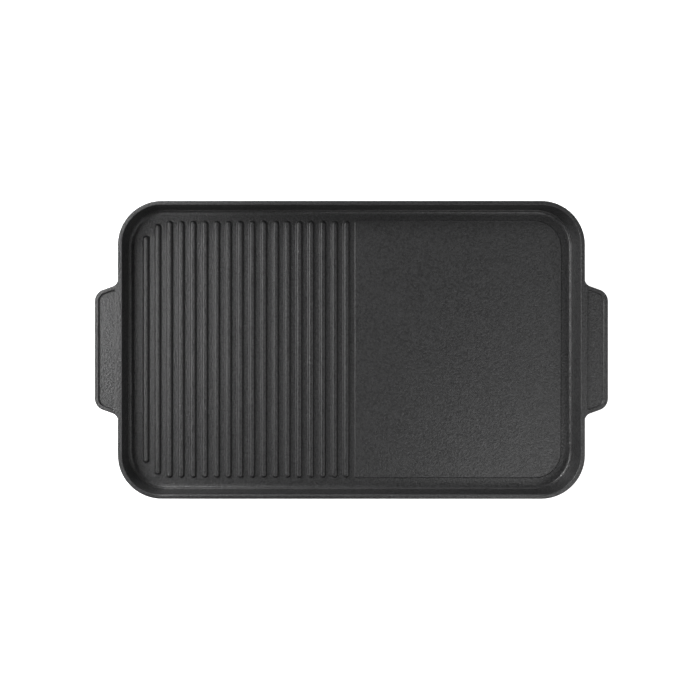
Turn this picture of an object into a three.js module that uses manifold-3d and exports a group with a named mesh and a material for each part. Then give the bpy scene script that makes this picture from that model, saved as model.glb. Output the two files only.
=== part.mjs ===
// Electric griddle: a lift-off cast plate, half ribbed and half flat, over a low heated base.
// Millimetres, +Z up. The origin is under the middle of the griddle, on the surface it stands on.
// +X runs along the plate towards the flat half, +Y to the back, where the mains inlet is.

import * as THREE from 'three';
import { mergeVertices } from 'three/addons/utils/BufferGeometryUtils.js';
import Module from 'manifold-3d';

const wasm = await Module();
wasm.setup();

// ---------------------------------------------------------------- driving dimensions

const gap = 0.3; // air left between two pieces that touch
const runningGap = 0.3; // radial air round the turning shaft and the sliding sensor

// cooking plate
const plateLength = 467; // without the ears
const plateWidth = 298;
const plateCorner = 44;
const plateDepth = 21; // rim down to the cooking floor
const plateFloor = 4; // thickness of the floor
const rimWidth = 4.2;
const outerDraft = 2.6; // the outside leans in by this much from rim to floor
const innerDraft = 2.4; // and the inside by this much from rim to ledge
const wallLedgeWidth = 0.9; // small ledge at the foot of the wall
const wallLedgeHeight = 2.6;
const wallFootRun = 1.6; // the foot below the ledge leans in by this much
const fieldInset = 17; // from the outer edge to the rib ends and the flat plateau
const plateauHeight = 1;
const plateauDraft = 0.6;
const plateauStart = 4.6; // the plateau begins just past the middle
const plateauInnerCorner = 2;
const ribPitch = 12.1;
const ribWidth = 5.8;
const ribHeight = 3;
const ribCrestWidth = 2.4;
const ribFirst = 4.6; // the last rib stands this far left of the middle
const ribFieldCorner = 32; // the ribs next to the wall end on this rounded corner

// plate ears
const earReach = 23;
const earRoot = 65.6; // half the ear's length where it leaves the plate
const earTip = 57.2; // and at its outer edge
const earRootFillet = 8.5;
const earTipCorner = 12.5;
const earThickness = 8;
const earBorder = 3.9;
const earRecessDepth = 2;
const earRecessStart = 1.7; // from the plate's edge
const earRecessInnerCorner = 2;

// skirt under the plate, which drops into the mouth of the base
const skirtDepth = 6;
const skirtThickness = 3.5;
const skirtClearance = 1.5;

// base housing
const housingInset = 6; // the plate's rim overhangs the top of the base by this much
const housingTaper = 6; // and the base leans in by this much down to its foot
const housingWall = 3;
const housingFootDrop = 3; // the housing wall reaches below the bottom cover
const airGap = 3; // between the top of the housing and the plate
const shelfWidth = 20; // shelf inside the mouth, for the pan and the plate's pads
const shelfThickness = 2.4;
const recessWall = 2.5;

// stack from the table up
const footHeight = 7.7;
const coverThickness = 2;
const wiringHeight = 32; // bottom cover to pan
const panHeight = 18.7;
const padHeight = 3;

// bottom cover
const ventLength = 46;
const ventWidth = 3.4;
const ventPitch = 12;
const ventsPerBank = 8;
const ventBankX = 115;
const coverScrewY = 90;
const coverBossRadius = 5.5;
const coverBossHeight = 22;

// feet and pads
const footRadius = 11;
const footStemRadius = 3;
const footBevel = 1;
const footBarbReach = 1.3; // the barb's widest part, beyond the stem
const footBarbHeight = 2.4;
const footBarbTipRadius = 2.4;
const footInset = 34; // from the edge of the cover
const padLength = 24;
const padWidth = 4.6;
const padX = 150;
const padPegRadius = 1.8;

// reflector pan
const sheet = 1;
const panFlange = 9.5; // the part of the flange that lies on the shelf
const panClearance = 2.5; // pan wall to the shelf's inner edge
const panCorner = 24;
const panDraft = 3; // the pan's wall leans in by this much from top to floor
const panScrewY = 62;
const panBossRadius = 4;
const panBossHeight = 9;

// heating element
const elementRadius = 3.25;
const elementBend = 17;
const elementInnerX = 62; // the inner runs stand this far from the middle
const legBend = 8;
const legDrop = 7; // the legs end this far below the pan
const elementMargin = 13; // to the pan's wall
const elementDrop = 12; // plate underside down to the element's axis
const legX = 16;
const legInset = 51.5; // from the back run of the tube in to the legs
const legHoleClearance = 1; // in the pan's floor
const sealRadius = 4.2;
const sealLength = 6;
const terminalRadius = 1.6;
const terminalLength = 9;
const flangeThickness = 1.5;
const flangeHalfWidth = 9;
const flangeCorner = 5;
const flangeEnd = 6; // beyond the middle of each rivet
const rivetSpacing = 9; // from the middle of a leg
const rivetTailHeight = 1;
const rackX = 124;
const rackThickness = 1.2;
const rackFoot = 10;
const rackPost = 6; // half the width of each upright round the tube
const rackHorn = 1; // the uprights reach this far above the tube's axis

// control recess, knob and thermostat
const controlX = 0;
const recessLift = 0.5; // the control recess stands this far above the bottom cover
const controlRecessLength = 132;
const knobMargin = 2.7; // air above and below the knob in its recess
const controlRecessDepth = 15; // measured at the foot of the housing
const controlRecessCorner = 8;
const panelThickness = 1;
const knobSkirtRadius = 12.8;
const knobSkirtDepth = 3;
const knobGripRadius = 11;
const knobFluteDepth = 0.45;
const knobFlutes = 16;
const knobDepth = 12;
const knobHollowRadius = 8.4;
const knobHollowDepth = 5;
const shaftRadius = 3;
const shaftFlat = 0.7; // the D flat takes this much off the shaft
const shaftEngage = 5.5; // into the solid front of the knob
const shaftInside = 12; // into the thermostat
const pointerWidth = 1.8; // bar across the front of the knob
const pointerHeight = 0.7;
const pointerLength = 7.9;
const pointerMiddle = 5.5; // from the axis
const bushRadius = 4.5;
const nutAcross = 13.6; // over its corners
const nutThickness = 2.4;
const thermostatLength = 40;
const thermostatDepth = 22;
const thermostatHeadroom = 1.5; // air between the thermostat and the pan
const bushProud = 0.5; // the neck stands this far out of its nut
const mainTabX = 12; // blades on the thermostat's back, from its axis
const mainTabDrop = 6;
const pilotTabX = 8;
const pilotTabPitch = 6;
const pilotTabRise = 4.5;

// spring-loaded sensor under the plate
const sensorY = -14;
const cupRadius = 7.5;
const cupWall = 1;
const cupHeight = 16;
const cupBevel = 0.6;
const holderWall = 1.2;
const holderFlange = 5;
const holderHeight = 14;
const springRadius = 5;
const springWire = 0.6;
const springTurns = 5;
const capillaryRadius = 1;
const capillaryClearance = 1; // in the holder; twice as much in the pan
const capillaryRise = 6; // its end stands this far above the holder's floor

// pilot light
const pilotX = 42;
const lensRadius = 4;
const lensRim = 1.2;
const lensEdge = 0.8; // height of the straight edge of the cap
const lensHeight = 2;
const lampRadius = 3.2;
const lampLength = 14;
const lampTipRadius = 1.5;
const lampTipLength = 2;

// mains inlet
const inletX = 120;
const inletRise = 1.5; // from the middle of the wiring space up to the inlet's axis
const inletRecessLength = 58;
const inletRecessDepth = 3;
const inletRecessCorner = 4;
const inletFlangeLength = 50;
const inletFlangeHeight = 24;
const inletFlangeThickness = 2.5;
const inletBodyLength = 27.4;
const inletBodyHeight = 20;
const inletBodyDepth = 24;
const inletMouthLength = 24.2;
const inletMouthHeight = 16.6;
const inletMouthDepth = 16;
const inletMouthCorner = 4.5;
const pinLength = 31;
const pinWidth = 4;
const pinThickness = 2;
const pinSpacing = 7;
const pinRise = 2;
const pinSetBack = 2; // the pins end this far inside the flange
const inletScrewSpacing = 40;

// fasteners
const screwRadius = 1.5;
const screwHeadRadius = 2.8;
const screwHeadHeight = 1.8;
const screwSlotWidth = 0.8;
const inletScrewReach = 4; // past the recess wall

// wiring
const wireRadius = 1.3;
const wireBend = 6;
const leadRadius = 0.8;
const leadBend = 4;
const tabWidth = 6.3;
const tabThickness = 0.8;
const tabLength = 8;
const earthX = 70;
const earthDrop = 10.8; // the earth lug lies this far behind the pins
const lugRadius = 4;
const lugTail = 9;
const fuseRadius = 2.4;
const fuseLength = 13;
const fuseOffset = 6; // the fuse lies this far inside the live pin
const fuseY = 24;
const fuseDrop = 4.5; // and this far below it
const lugThickness = 0.8;
const lugTailWidth = 3;
const earthNutRadius = 3.2; // over its corners
const liveDrop = 14; // straight run behind the live pin
const liveSlope = 20; // and the slope down to the fuse
const neutralDrop = 26;
const thermostatTurn = 16; // wires turn this far behind the thermostat's blades
const switchedRise = 24; // length of the slope up to the element's blade
const pilotTurn = 9; // the first lead turns this far behind the blades
const pilotLeadPitch = 3; // and the second this much nearer
const leadSpacing = 1; // from the lamp's axis
const panelMargin = 1; // the panel is this much smaller than its recess all round

// ---------------------------------------------------------------- derived sizes

const halfX = plateLength / 2;
const halfY = plateWidth / 2;

const coverBottomZ = footHeight + gap;
const coverTopZ = coverBottomZ + coverThickness;
const panBottomZ = coverTopZ + wiringHeight;
const panTopZ = panBottomZ + panHeight;
const shelfTopZ = panTopZ - sheet - gap;
const shelfBottomZ = shelfTopZ - shelfThickness;
const skirtBottomZ = shelfTopZ + gap + padHeight + gap;
const plateZ = skirtBottomZ + skirtDepth;
const floorZ = plateZ + plateFloor;
const housingBottomZ = coverBottomZ - housingFootDrop;
const housingTopZ = plateZ - airGap;
const elementZ = plateZ - elementDrop;
const controlRecessHeight = 2 * (knobSkirtRadius + knobMargin);
const controlZ = coverTopZ + recessLift + recessWall + controlRecessHeight / 2;
const thermostatHeight = 2 * (panBottomZ - thermostatHeadroom - controlZ);
const inletZ = coverTopZ + wiringHeight / 2 + inletRise;
const inletRecessHeight = 2 * (inletZ - coverTopZ - recessWall); // it stands on the bottom cover's level

const mouthX = halfX - housingInset - housingWall;
const mouthY = halfY - housingInset - housingWall;
const mouthCorner = plateCorner - housingInset - housingWall;
const shelfHoleX = mouthX - shelfWidth;
const shelfHoleY = mouthY - shelfWidth;
const shelfHoleCorner = panCorner + panClearance;
const panX = shelfHoleX - panClearance;
const panY = shelfHoleY - panClearance;
const elementX = panX - sheet - elementMargin;
const elementY = panY - sheet - elementMargin;
const elementRow = elementY / 3;
const legY = elementY - legInset;
const skirtX = mouthX - skirtClearance;
const skirtY = mouthY - skirtClearance;
const skirtCorner = mouthCorner - skirtClearance;

// how far the housing's outside has leaned in, from its top down to height z
const leanAt = (z) => (housingTaper * (housingTopZ - z)) / (housingTopZ - housingBottomZ);

const housingFootY = halfY - housingInset - housingTaper;
const controlFaceY = -(housingFootY - controlRecessDepth); // outer face of the recess floor
const controlBackY = controlFaceY + recessWall;
const panelFaceY = controlFaceY - gap - panelThickness;
const inletFaceY = housingFootY - inletRecessDepth;
const coverX = halfX - housingInset - leanAt(coverBottomZ) - housingWall - 2 * gap;
const coverY = halfY - housingInset - leanAt(coverBottomZ) - housingWall - 2 * gap;
const coverCorner = plateCorner - housingInset - leanAt(coverBottomZ) - housingWall - 2 * gap;
const coverScrewX = coverX - coverBossRadius + gap;
const panScrewX = shelfHoleX + panFlange / 2;
const legEndZ = panBottomZ - legDrop;
const padY = skirtY - skirtThickness / 2;
const screwHole = screwRadius + gap;
const panInsideZ = panBottomZ + sheet + gap; // where a piece stands on the pan's floor
const lugZ = panBottomZ - gap - lugThickness;
const knobRearY = panelFaceY - gap;
const thermostatFrontY = controlBackY + gap;
const thermostatBackY = thermostatFrontY + thermostatDepth;
const inletFrontY = inletFaceY + gap + inletFlangeThickness;
const pinFrontY = inletFrontY - pinSetBack;
const pinBackY = pinFrontY - pinLength;
const rivetX = legX + rivetSpacing;
const fuseX = inletX + pinSpacing - fuseOffset;
const fuseZ = inletZ - pinRise - fuseDrop;
const earthY = pinBackY - earthDrop;

// ---------------------------------------------------------------- geometry helpers

const upright = new THREE.Euler(0, 0, 0);
const alongY = new THREE.Euler(-Math.PI / 2, 0, 0); // a local +Z piece points to +Y
const alongMinusY = new THREE.Euler(Math.PI / 2, 0, 0); // a local +Z piece points to -Y

// Closed outline through corners given as [x, y, radius], anticlockwise, with round corners.
function roundedPolygon(corners, arcSteps = 6) {
  const points = [];
  corners.forEach(([x, y, radius], index) => {
    const corner = new THREE.Vector2(x, y);
    if (radius === 0) {
      points.push(corner);
      return;
    }
    const [lastX, lastY] = corners.at(index - 1);
    const [nextX, nextY] = corners[(index + 1) % corners.length];
    const back = new THREE.Vector2(lastX, lastY).sub(corner).normalize();
    const ahead = new THREE.Vector2(nextX, nextY).sub(corner).normalize();
    const halfAngle = Math.acos(back.dot(ahead)) / 2;
    const inward = back.clone().add(ahead).normalize();
    const centre = corner.clone().addScaledVector(inward, radius / Math.sin(halfAngle));
    const start = corner.clone().addScaledVector(back, radius / Math.tan(halfAngle));
    const sweep = Math.sign(ahead.cross(back)) * (Math.PI - 2 * halfAngle);
    for (let step = 0; step <= arcSteps; step += 1) {
      points.push(start.clone().rotateAround(centre, (sweep * step) / arcSteps));
    }
  });
  return points;
}

function rectangle(halfLength, halfWidth, corner = 0, arcSteps = 6) {
  const corners = [
    [halfLength, halfWidth, corner],
    [-halfLength, halfWidth, corner],
    [-halfLength, -halfWidth, corner],
    [halfLength, -halfWidth, corner],
  ];
  return roundedPolygon(corners, arcSteps);
}

// Slot outline along Y with two half-round ends.
function stadium(halfLength, radius, arcSteps = 6) {
  const points = [];
  for (const side of [1, -1]) {
    for (let step = 0; step <= arcSteps; step += 1) {
      const angle = (Math.PI * step) / arcSteps;
      const x = side * radius * Math.cos(angle);
      const y = side * (halfLength - radius + radius * Math.sin(angle));
      points.push(new THREE.Vector2(x, y));
    }
  }
  return points;
}

function circle(radius, sides) {
  const points = [];
  for (let side = 0; side < sides; side += 1) {
    const angle = (2 * Math.PI * side) / sides;
    points.push(new THREE.Vector2(radius * Math.cos(angle), radius * Math.sin(angle)));
  }
  return points;
}

// Straight block of an outline, from z = low to z = high.
function prism(outline, low, high) {
  const options = { depth: high - low, bevelEnabled: false };
  const geometry = new THREE.ExtrudeGeometry(new THREE.Shape(outline), options);
  geometry.translate(0, 0, low);
  return solidOf(geometry);
}

// Solid through a stack of outlines with equal point counts, given as [outline, z] from low to high.
function loft(sections) {
  const count = sections[0][0].length;
  const positions = sections.flatMap(([outline, z]) => outline.flatMap(({ x, y }) => [x, y, z]));
  const faces = [];
  for (let level = 0; level < sections.length - 1; level += 1) {
    for (let side = 0; side < count; side += 1) {
      const a = level * count + side;
      const b = level * count + ((side + 1) % count);
      faces.push(a, b, b + count, a, b + count, a + count);
    }
  }
  const top = (sections.length - 1) * count;
  for (const [a, b, c] of THREE.ShapeUtils.triangulateShape(sections[0][0], [])) {
    faces.push(a, c, b);
  }
  for (const [a, b, c] of THREE.ShapeUtils.triangulateShape(sections.at(-1)[0], [])) {
    faces.push(top + a, top + b, top + c);
  }
  const geometry = new THREE.BufferGeometry();
  geometry.setAttribute('position', new THREE.Float32BufferAttribute(positions, 3));
  geometry.setIndex(faces);
  return solidOf(geometry);
}

// Turned piece about Z. The profile is [radius, z] pairs, up the outside, starting on the axis
// or closing on itself.
function turned(profile, sides = 24) {
  const points = profile.map(([radius, z]) => new THREE.Vector2(radius, z));
  const geometry = new THREE.LatheGeometry(points, sides);
  geometry.rotateX(Math.PI / 2);
  return solidOf(geometry);
}

// Turned ring: a profile that closes on itself.
function ring(inner, outer, low, high, sides = 24) {
  return turned([[inner, low], [outer, low], [outer, high], [inner, high], [inner, low]], sides);
}

function rod(radius, low, high, sides = 16) {
  return prism(circle(radius, sides), low, high);
}

function block(sizeX, sizeY, sizeZ, x = 0, y = 0, z = 0) {
  const geometry = new THREE.BoxGeometry(sizeX, sizeY, sizeZ);
  geometry.translate(x, y, z);
  return solidOf(geometry);
}

// A path of straight runs with round bends, sampled only where it turns.
class RoutedPath extends THREE.Curve {
  constructor(corners, bend, arcSteps) {
    super();
    this.stations = [corners[0].clone()];
    for (let index = 1; index < corners.length - 1; index += 1) {
      this.addBend(corners[index - 1], corners[index], corners[index + 1], bend, arcSteps);
    }
    this.stations.push(corners.at(-1).clone());
  }

  addBend(last, corner, next, bend, arcSteps) {
    const back = last.clone().sub(corner).normalize();
    const ahead = next.clone().sub(corner).normalize();
    const halfAngle = back.angleTo(ahead) / 2;
    const inward = back.clone().add(ahead).normalize();
    const centre = corner.clone().addScaledVector(inward, bend / Math.sin(halfAngle));
    const arm = corner.clone().addScaledVector(back, bend / Math.tan(halfAngle)).sub(centre);
    const axis = ahead.clone().cross(back).normalize();
    const sweep = Math.PI - 2 * halfAngle;
    for (let step = 0; step <= arcSteps; step += 1) {
      const turn = arm.clone().applyAxisAngle(axis, (sweep * step) / arcSteps);
      this.stations.push(turn.add(centre));
    }
  }

  getPointAt(u, target = new THREE.Vector3()) {
    return target.copy(this.stations[Math.round(u * (this.stations.length - 1))]);
  }

  getTangentAt(u, target = new THREE.Vector3()) {
    const index = Math.round(u * (this.stations.length - 1));
    const here = this.stations[index];
    const before = this.stations[Math.max(index - 1, 0)];
    const after = this.stations[Math.min(index + 1, this.stations.length - 1)];
    const into = here.clone().sub(before).normalize();
    const out = after.clone().sub(here).normalize();
    return target.copy(into).add(out).normalize();
  }
}

function tube(corners, radius, bend, sides = 8, arcSteps = 4) {
  const points = corners.map(([x, y, z]) => new THREE.Vector3(x, y, z));
  const path = new RoutedPath(points, bend, arcSteps);
  const options = { steps: path.stations.length - 1, extrudePath: path, bevelEnabled: false };
  return solidOf(new THREE.ExtrudeGeometry(new THREE.Shape(circle(radius, sides)), options));
}

// A closed three.js geometry as a solid that can be cut and joined.
function solidOf(geometry) {
  const bare = geometry.clone();
  bare.deleteAttribute('normal');
  bare.deleteAttribute('uv');
  const merged = mergeVertices(bare, 1e-4);
  const corners = Array.from(merged.index.array);
  const triVerts = [];
  for (let at = 0; at < corners.length; at += 3) {
    const [a, b, c] = corners.slice(at, at + 3);
    if (a !== b && b !== c && c !== a) {
      triVerts.push(a, b, c);
    }
  }
  const vertProperties = Float32Array.from(merged.attributes.position.array);
  const mesh = new wasm.Mesh({ numProp: 3, vertProperties, triVerts: Uint32Array.from(triVerts) });
  return new wasm.Manifold(mesh);
}

const join = (...solids) => solids.reduce((whole, piece) => whole.add(piece));
const cut = (solid, ...tools) => tools.reduce((left, tool) => left.subtract(tool), solid);
const moved = (solid, x, y, z) => solid.translate([x, y, z]);

// the same solid lying along -Y or +Y instead of +Z
const facingFront = (solid) => solid.rotate([90, 0, 0]);
const facingBack = (solid) => solid.rotate([-90, 0, 0]);

// ---------------------------------------------------------------- scene helpers

const group = new THREE.Group();

function material(color, roughness, metalness) {
  return new THREE.MeshStandardMaterial({ color, roughness, metalness });
}

function addPart(name, solid, look, position = [0, 0, 0], rotation = upright, parent = group) {
  const { vertProperties, triVerts } = solid.getMesh();
  const geometry = new THREE.BufferGeometry();
  geometry.setAttribute('position', new THREE.BufferAttribute(Float32Array.from(vertProperties), 3));
  geometry.setIndex(new THREE.BufferAttribute(Uint32Array.from(triVerts), 1));
  geometry.computeVertexNormals();
  const mesh = new THREE.Mesh(geometry, look);
  mesh.name = name;
  mesh.position.set(...position);
  mesh.rotation.copy(rotation);
  parent.add(mesh);
  return mesh;
}

const coatedCasting = () => material(0x3c3c3d, 0.55, 0.4);
const blackPlastic = () => material(0x222224, 0.6, 0);
const blackRubber = () => material(0x1a1a1a, 0.9, 0);
const greySilicone = () => material(0x6f6f6c, 0.8, 0);
const plainSteel = () => material(0xa9acae, 0.35, 0.9);
const darkSheath = () => material(0x4b4c48, 0.5, 0.8);
const whiteCeramic = () => material(0xe6e1d4, 0.6, 0);
const nickel = () => material(0xb7b9b6, 0.3, 1);

// ---------------------------------------------------------------- cooking plate

// Outline of the plate's body, moved in from its outer edge.
function plateOutline(inset) {
  return rectangle(halfX - inset, halfY - inset, plateCorner - inset);
}

// Ear outline on the +X side, from inside the rim out to the tip.
function earOutline() {
  const buried = halfX - rimWidth;
  const tipX = halfX + earReach;
  return roundedPolygon([
    [buried, -earRoot - 2 * earRootFillet, 0],
    [halfX, -earRoot - 2 * earRootFillet, 0],
    [halfX, -earRoot, earRootFillet],
    [tipX, -earTip, earTipCorner],
    [tipX, earTip, earTipCorner],
    [halfX, earRoot, earRootFillet],
    [halfX, earRoot + 2 * earRootFillet, 0],
    [buried, earRoot + 2 * earRootFillet, 0],
  ]);
}

// The recess in an ear follows the ear's outline, one border in from it.
function earRecessOutline() {
  const slope = (earRoot - earTip) / earReach;
  const border = earBorder * Math.hypot(1, slope);
  const widthAt = (reach) => earRoot - border - slope * reach;
  const outerReach = earReach - earBorder;
  return roundedPolygon([
    [halfX + earRecessStart, -widthAt(earRecessStart), earRecessInnerCorner],
    [halfX + outerReach, -widthAt(outerReach), earTipCorner - earBorder],
    [halfX + outerReach, widthAt(outerReach), earTipCorner - earBorder],
    [halfX + earRecessStart, widthAt(earRecessStart), earRecessInnerCorner],
  ]);
}

// One ear with its recess, at the plate's own heights, where z = 0 is the underside of the floor.
function plateEar() {
  const top = plateFloor + plateDepth;
  const body = prism(earOutline(), top - earThickness, top);
  return cut(body, prism(earRecessOutline(), top - earRecessDepth, top + 1));
}

// The well inside the rim, with the small ledge at the foot of its wall.
function plateWell() {
  const top = plateFloor + plateDepth;
  const ledgeInset = rimWidth + innerDraft;
  const footInset = ledgeInset + wallLedgeWidth;
  return loft([
    [plateOutline(footInset + wallFootRun), plateFloor],
    [plateOutline(footInset), plateFloor + wallLedgeHeight],
    [plateOutline(ledgeInset), plateFloor + wallLedgeHeight + gap],
    [plateOutline(rimWidth), top],
    [plateOutline(rimWidth), top + 1],
  ]);
}

// Half the length of the rib whose middle is at x: ribs by the side wall are shortened, so that
// their round ends stay inside the rounded corner of the rib field.
function ribHalfLength(x) {
  const reach = Math.abs(x) - (halfX - fieldInset - ribFieldCorner);
  if (reach <= 0) {
    return halfY - fieldInset;
  }
  const cornerY = halfY - fieldInset - ribFieldCorner;
  const round = ribFieldCorner - ribWidth / 2;
  return cornerY + Math.sqrt(round * round - reach * reach) + ribWidth / 2;
}

function plateRib(x) {
  const halfLength = ribHalfLength(x);
  const shoulder = (ribWidth + ribCrestWidth) / 2;
  const trim = (width) => (ribWidth - width) / 2;
  const outline = (width) => stadium(halfLength - trim(width), width / 2, 4);
  const solid = loft([
    [outline(ribWidth), plateFloor - gap],
    [outline(shoulder), plateFloor + ribHeight * 0.75],
    [outline(ribCrestWidth), plateFloor + ribHeight],
  ]);
  return moved(solid, x, 0, 0);
}

function ribPositions() {
  const room = halfX - fieldInset - ribFirst - ribWidth / 2;
  const count = Math.floor(room / ribPitch) + 1;
  return Array.from({ length: count }, (_, index) => -ribFirst - index * ribPitch);
}

// The flat half: a low plateau with two large corners on the wall side.
function platePlateau() {
  const corner = plateCorner - fieldInset;
  const outline = (draft) => roundedPolygon([
    [halfX - fieldInset - draft, halfY - fieldInset - draft, corner - draft],
    [plateauStart + draft, halfY - fieldInset - draft, plateauInnerCorner],
    [plateauStart + draft, -(halfY - fieldInset - draft), plateauInnerCorner],
    [halfX - fieldInset - draft, -(halfY - fieldInset - draft), corner - draft],
  ]);
  return loft([
    [outline(0), plateFloor - 1],
    [outline(0), plateFloor],
    [outline(plateauDraft), plateFloor + plateauHeight],
  ]);
}

// Rib round the underside that drops into the mouth of the base.
function plateSkirt() {
  const inner = skirtThickness;
  const outside = prism(rectangle(skirtX, skirtY, skirtCorner), -skirtDepth, 1);
  const inside = rectangle(skirtX - inner, skirtY - inner, skirtCorner - inner);
  return cut(outside, prism(inside, -skirtDepth - 1, 2));
}

function addGriddlePlate() {
  const top = plateFloor + plateDepth;
  const ear = plateEar();
  const shell = loft([[plateOutline(outerDraft), 0], [plateOutline(0), top]]);
  const tray = cut(join(shell, ear, ear.rotate([0, 0, 180])), plateWell());
  const solid = join(tray, plateSkirt(), platePlateau(), ...ribPositions().map(plateRib));
  addPart('griddle_plate', solid, coatedCasting(), [0, 0, plateZ]);
}

// ---------------------------------------------------------------- base housing

// Outline of the housing at height z, moved in from its outside.
function housingOutline(z, inset) {
  const lean = housingInset + leanAt(z) + inset;
  return rectangle(halfX - lean, halfY - lean, plateCorner - lean);
}

function housingLoft(inset, low, high) {
  return loft([[housingOutline(low, inset), low], [housingOutline(high, inset), high]]);
}

// A block standing on the front (side -1) or back (side +1) wall, from that wall inwards to y.
function wallBlock(side, x, z, length, height, corner, faceY) {
  const outline = rectangle(length / 2, height / 2, corner, 4);
  const laid = side < 0 ? facingFront(prism(outline, 0, halfY)) : facingBack(prism(outline, 0, halfY));
  return moved(laid, x, faceY, z);
}

// Recess with its own walls: what is added inside the housing, and what is cut out of it.
function recess(side, x, z, length, height, corner, faceY) {
  const grown = 2 * recessWall;
  const innerFaceY = faceY - side * recessWall;
  const walls = [x, z, length + grown, height + grown, corner + recessWall, innerFaceY];
  return {
    walls: wallBlock(side, ...walls),
    hollow: wallBlock(side, x, z, length, height, corner, faceY),
  };
}

function controlRecess() {
  const size = [controlRecessLength, controlRecessHeight, controlRecessCorner];
  return recess(-1, controlX, controlZ, ...size, controlFaceY);
}

function inletRecess() {
  const size = [inletRecessLength, inletRecessHeight, inletRecessCorner];
  return recess(1, inletX, inletZ, ...size, inletFaceY);
}

// Shelf inside the mouth: the pan's flange and the plate's pads stand on it.
function housingShelf() {
  const outside = housingLoft(gap, shelfBottomZ, shelfTopZ);
  const hole = rectangle(shelfHoleX, shelfHoleY, shelfHoleCorner);
  return cut(outside, prism(hole, shelfBottomZ - 1, shelfTopZ + 1));
}

function housingBosses() {
  const bosses = [];
  for (const sideX of [-1, 1]) {
    for (const sideY of [-1, 1]) {
      const low = coverTopZ + gap;
      const post = rod(coverBossRadius, low, low + coverBossHeight, 14);
      const web = block(3 * coverBossRadius, housingWall, coverBossHeight,
        sideX * 1.5 * coverBossRadius, 0, low + coverBossHeight / 2);
      bosses.push(moved(join(post, web), sideX * coverScrewX, sideY * coverScrewY, 0));
      const panBoss = rod(panBossRadius, shelfTopZ - panBossHeight, shelfTopZ - 1, 12);
      bosses.push(moved(panBoss, sideX * panScrewX, sideY * panScrewY, 0));
    }
  }
  return bosses;
}

function housingHoles() {
  const holes = [];
  for (const sideX of [-1, 1]) {
    for (const sideY of [-1, 1]) {
      const coverHole = rod(screwHole, housingBottomZ, coverTopZ + coverBossHeight - 3, 10);
      holes.push(moved(coverHole, sideX * coverScrewX, sideY * coverScrewY, 0));
      const panHole = rod(screwHole, shelfTopZ - panBossHeight - 1, shelfTopZ + 1, 10);
      holes.push(moved(panHole, sideX * panScrewX, sideY * panScrewY, 0));
      const pegHole = rod(padPegRadius + gap, shelfBottomZ - 1, shelfTopZ + 1, 10);
      holes.push(moved(pegHole, sideX * padX, sideY * padY, 0));
    }
  }
  const bushHole = facingBack(rod(bushRadius + gap, -2, recessWall + 2, 20));
  holes.push(moved(bushHole, controlX, controlFaceY, controlZ));
  const lensHole = facingBack(rod(lensRadius - lensRim + gap, -2, recessWall + 2, 16));
  holes.push(moved(lensHole, controlX + pilotX, controlFaceY, controlZ));
  const bodyHole = rectangle(inletBodyLength / 2 + gap, inletBodyHeight / 2 + gap, 2, 3);
  holes.push(moved(facingFront(prism(bodyHole, -2, recessWall + 2)), inletX, inletFaceY, inletZ));
  for (const side of [-1, 1]) {
    const screw = facingFront(rod(screwHole, -2, recessWall + 2, 10));
    holes.push(moved(screw, inletX + (side * inletScrewSpacing) / 2, inletFaceY, inletZ));
  }
  return holes;
}

function addBaseHousing() {
  const outside = housingLoft(0, housingBottomZ, housingTopZ);
  const inside = housingLoft(housingWall, housingBottomZ - 1, housingTopZ + 1);
  const control = controlRecess();
  const inlet = inletRecess();
  const fittings = join(control.walls, inlet.walls, ...housingBosses()).intersect(outside);
  const shell = join(cut(outside, inside), fittings, housingShelf());
  addPart('base_housing', cut(shell, control.hollow, inlet.hollow, ...housingHoles()), blackPlastic());
}

// ---------------------------------------------------------------- bottom cover and feet

function footPositions() {
  const x = coverX - footInset;
  const y = coverY - footInset;
  return [
    ['front_left', -x, -y],
    ['front_right', x, -y],
    ['back_left', -x, y],
    ['back_right', x, y],
  ];
}

function coverVents() {
  const vents = [];
  for (const bank of [-1, 1]) {
    for (let index = 0; index < ventsPerBank; index += 1) {
      const x = bank * ventBankX + (index - (ventsPerBank - 1) / 2) * ventPitch;
      vents.push(moved(prism(stadium(ventLength / 2, ventWidth / 2, 3), -1, coverThickness + 1), x, 0, 0));
    }
  }
  return vents;
}

function addBottomCover() {
  const plate = prism(rectangle(coverX, coverY, coverCorner), 0, coverThickness);
  const holes = [];
  for (const sideX of [-1, 1]) {
    for (const sideY of [-1, 1]) {
      const screw = rod(screwHole, -1, coverThickness + 1, 10);
      holes.push(moved(screw, sideX * coverScrewX, sideY * coverScrewY, 0));
    }
  }
  for (const [, x, y] of footPositions()) {
    holes.push(moved(rod(footStemRadius + gap, -1, coverThickness + 1, 14), x, y, 0));
  }
  const cover = cut(plate, ...holes, ...coverVents());
  addPart('bottom_cover', cover, plainSteel(), [0, 0, coverBottomZ]);
}

// Push-in rubber foot: a pad below the cover, a stem through it and a barb above.
function addFeet() {
  const stemTop = footHeight + coverThickness + 3 * gap;
  const profile = [
    [0, 0],
    [footRadius - footBevel, 0],
    [footRadius, footBevel],
    [footRadius - footBevel, footHeight],
    [footStemRadius, footHeight],
    [footStemRadius, stemTop],
    [footStemRadius + footBarbReach, stemTop],
    [footBarbTipRadius, stemTop + footBarbHeight],
    [0, stemTop + footBarbHeight],
  ];
  for (const [place, x, y] of footPositions()) {
    addPart(`foot_${place}`, turned(profile, 16), blackRubber(), [x, y, 0]);
  }
}

// ---------------------------------------------------------------- screws

// Pan-head screw with a slot, head up at z = 0 and its shank below it.
function screwSolid(length) {
  const screw = turned([
    [0, -length],
    [screwRadius, -length],
    [screwRadius, 0],
    [screwHeadRadius, 0],
    [screwHeadRadius, screwHeadHeight * 0.55],
    [screwHeadRadius * 0.6, screwHeadHeight],
    [0, screwHeadHeight],
  ], 10);
  return cut(screw, block(3 * screwHeadRadius, screwSlotWidth, screwHeadHeight, 0, 0, screwHeadHeight));
}

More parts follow.
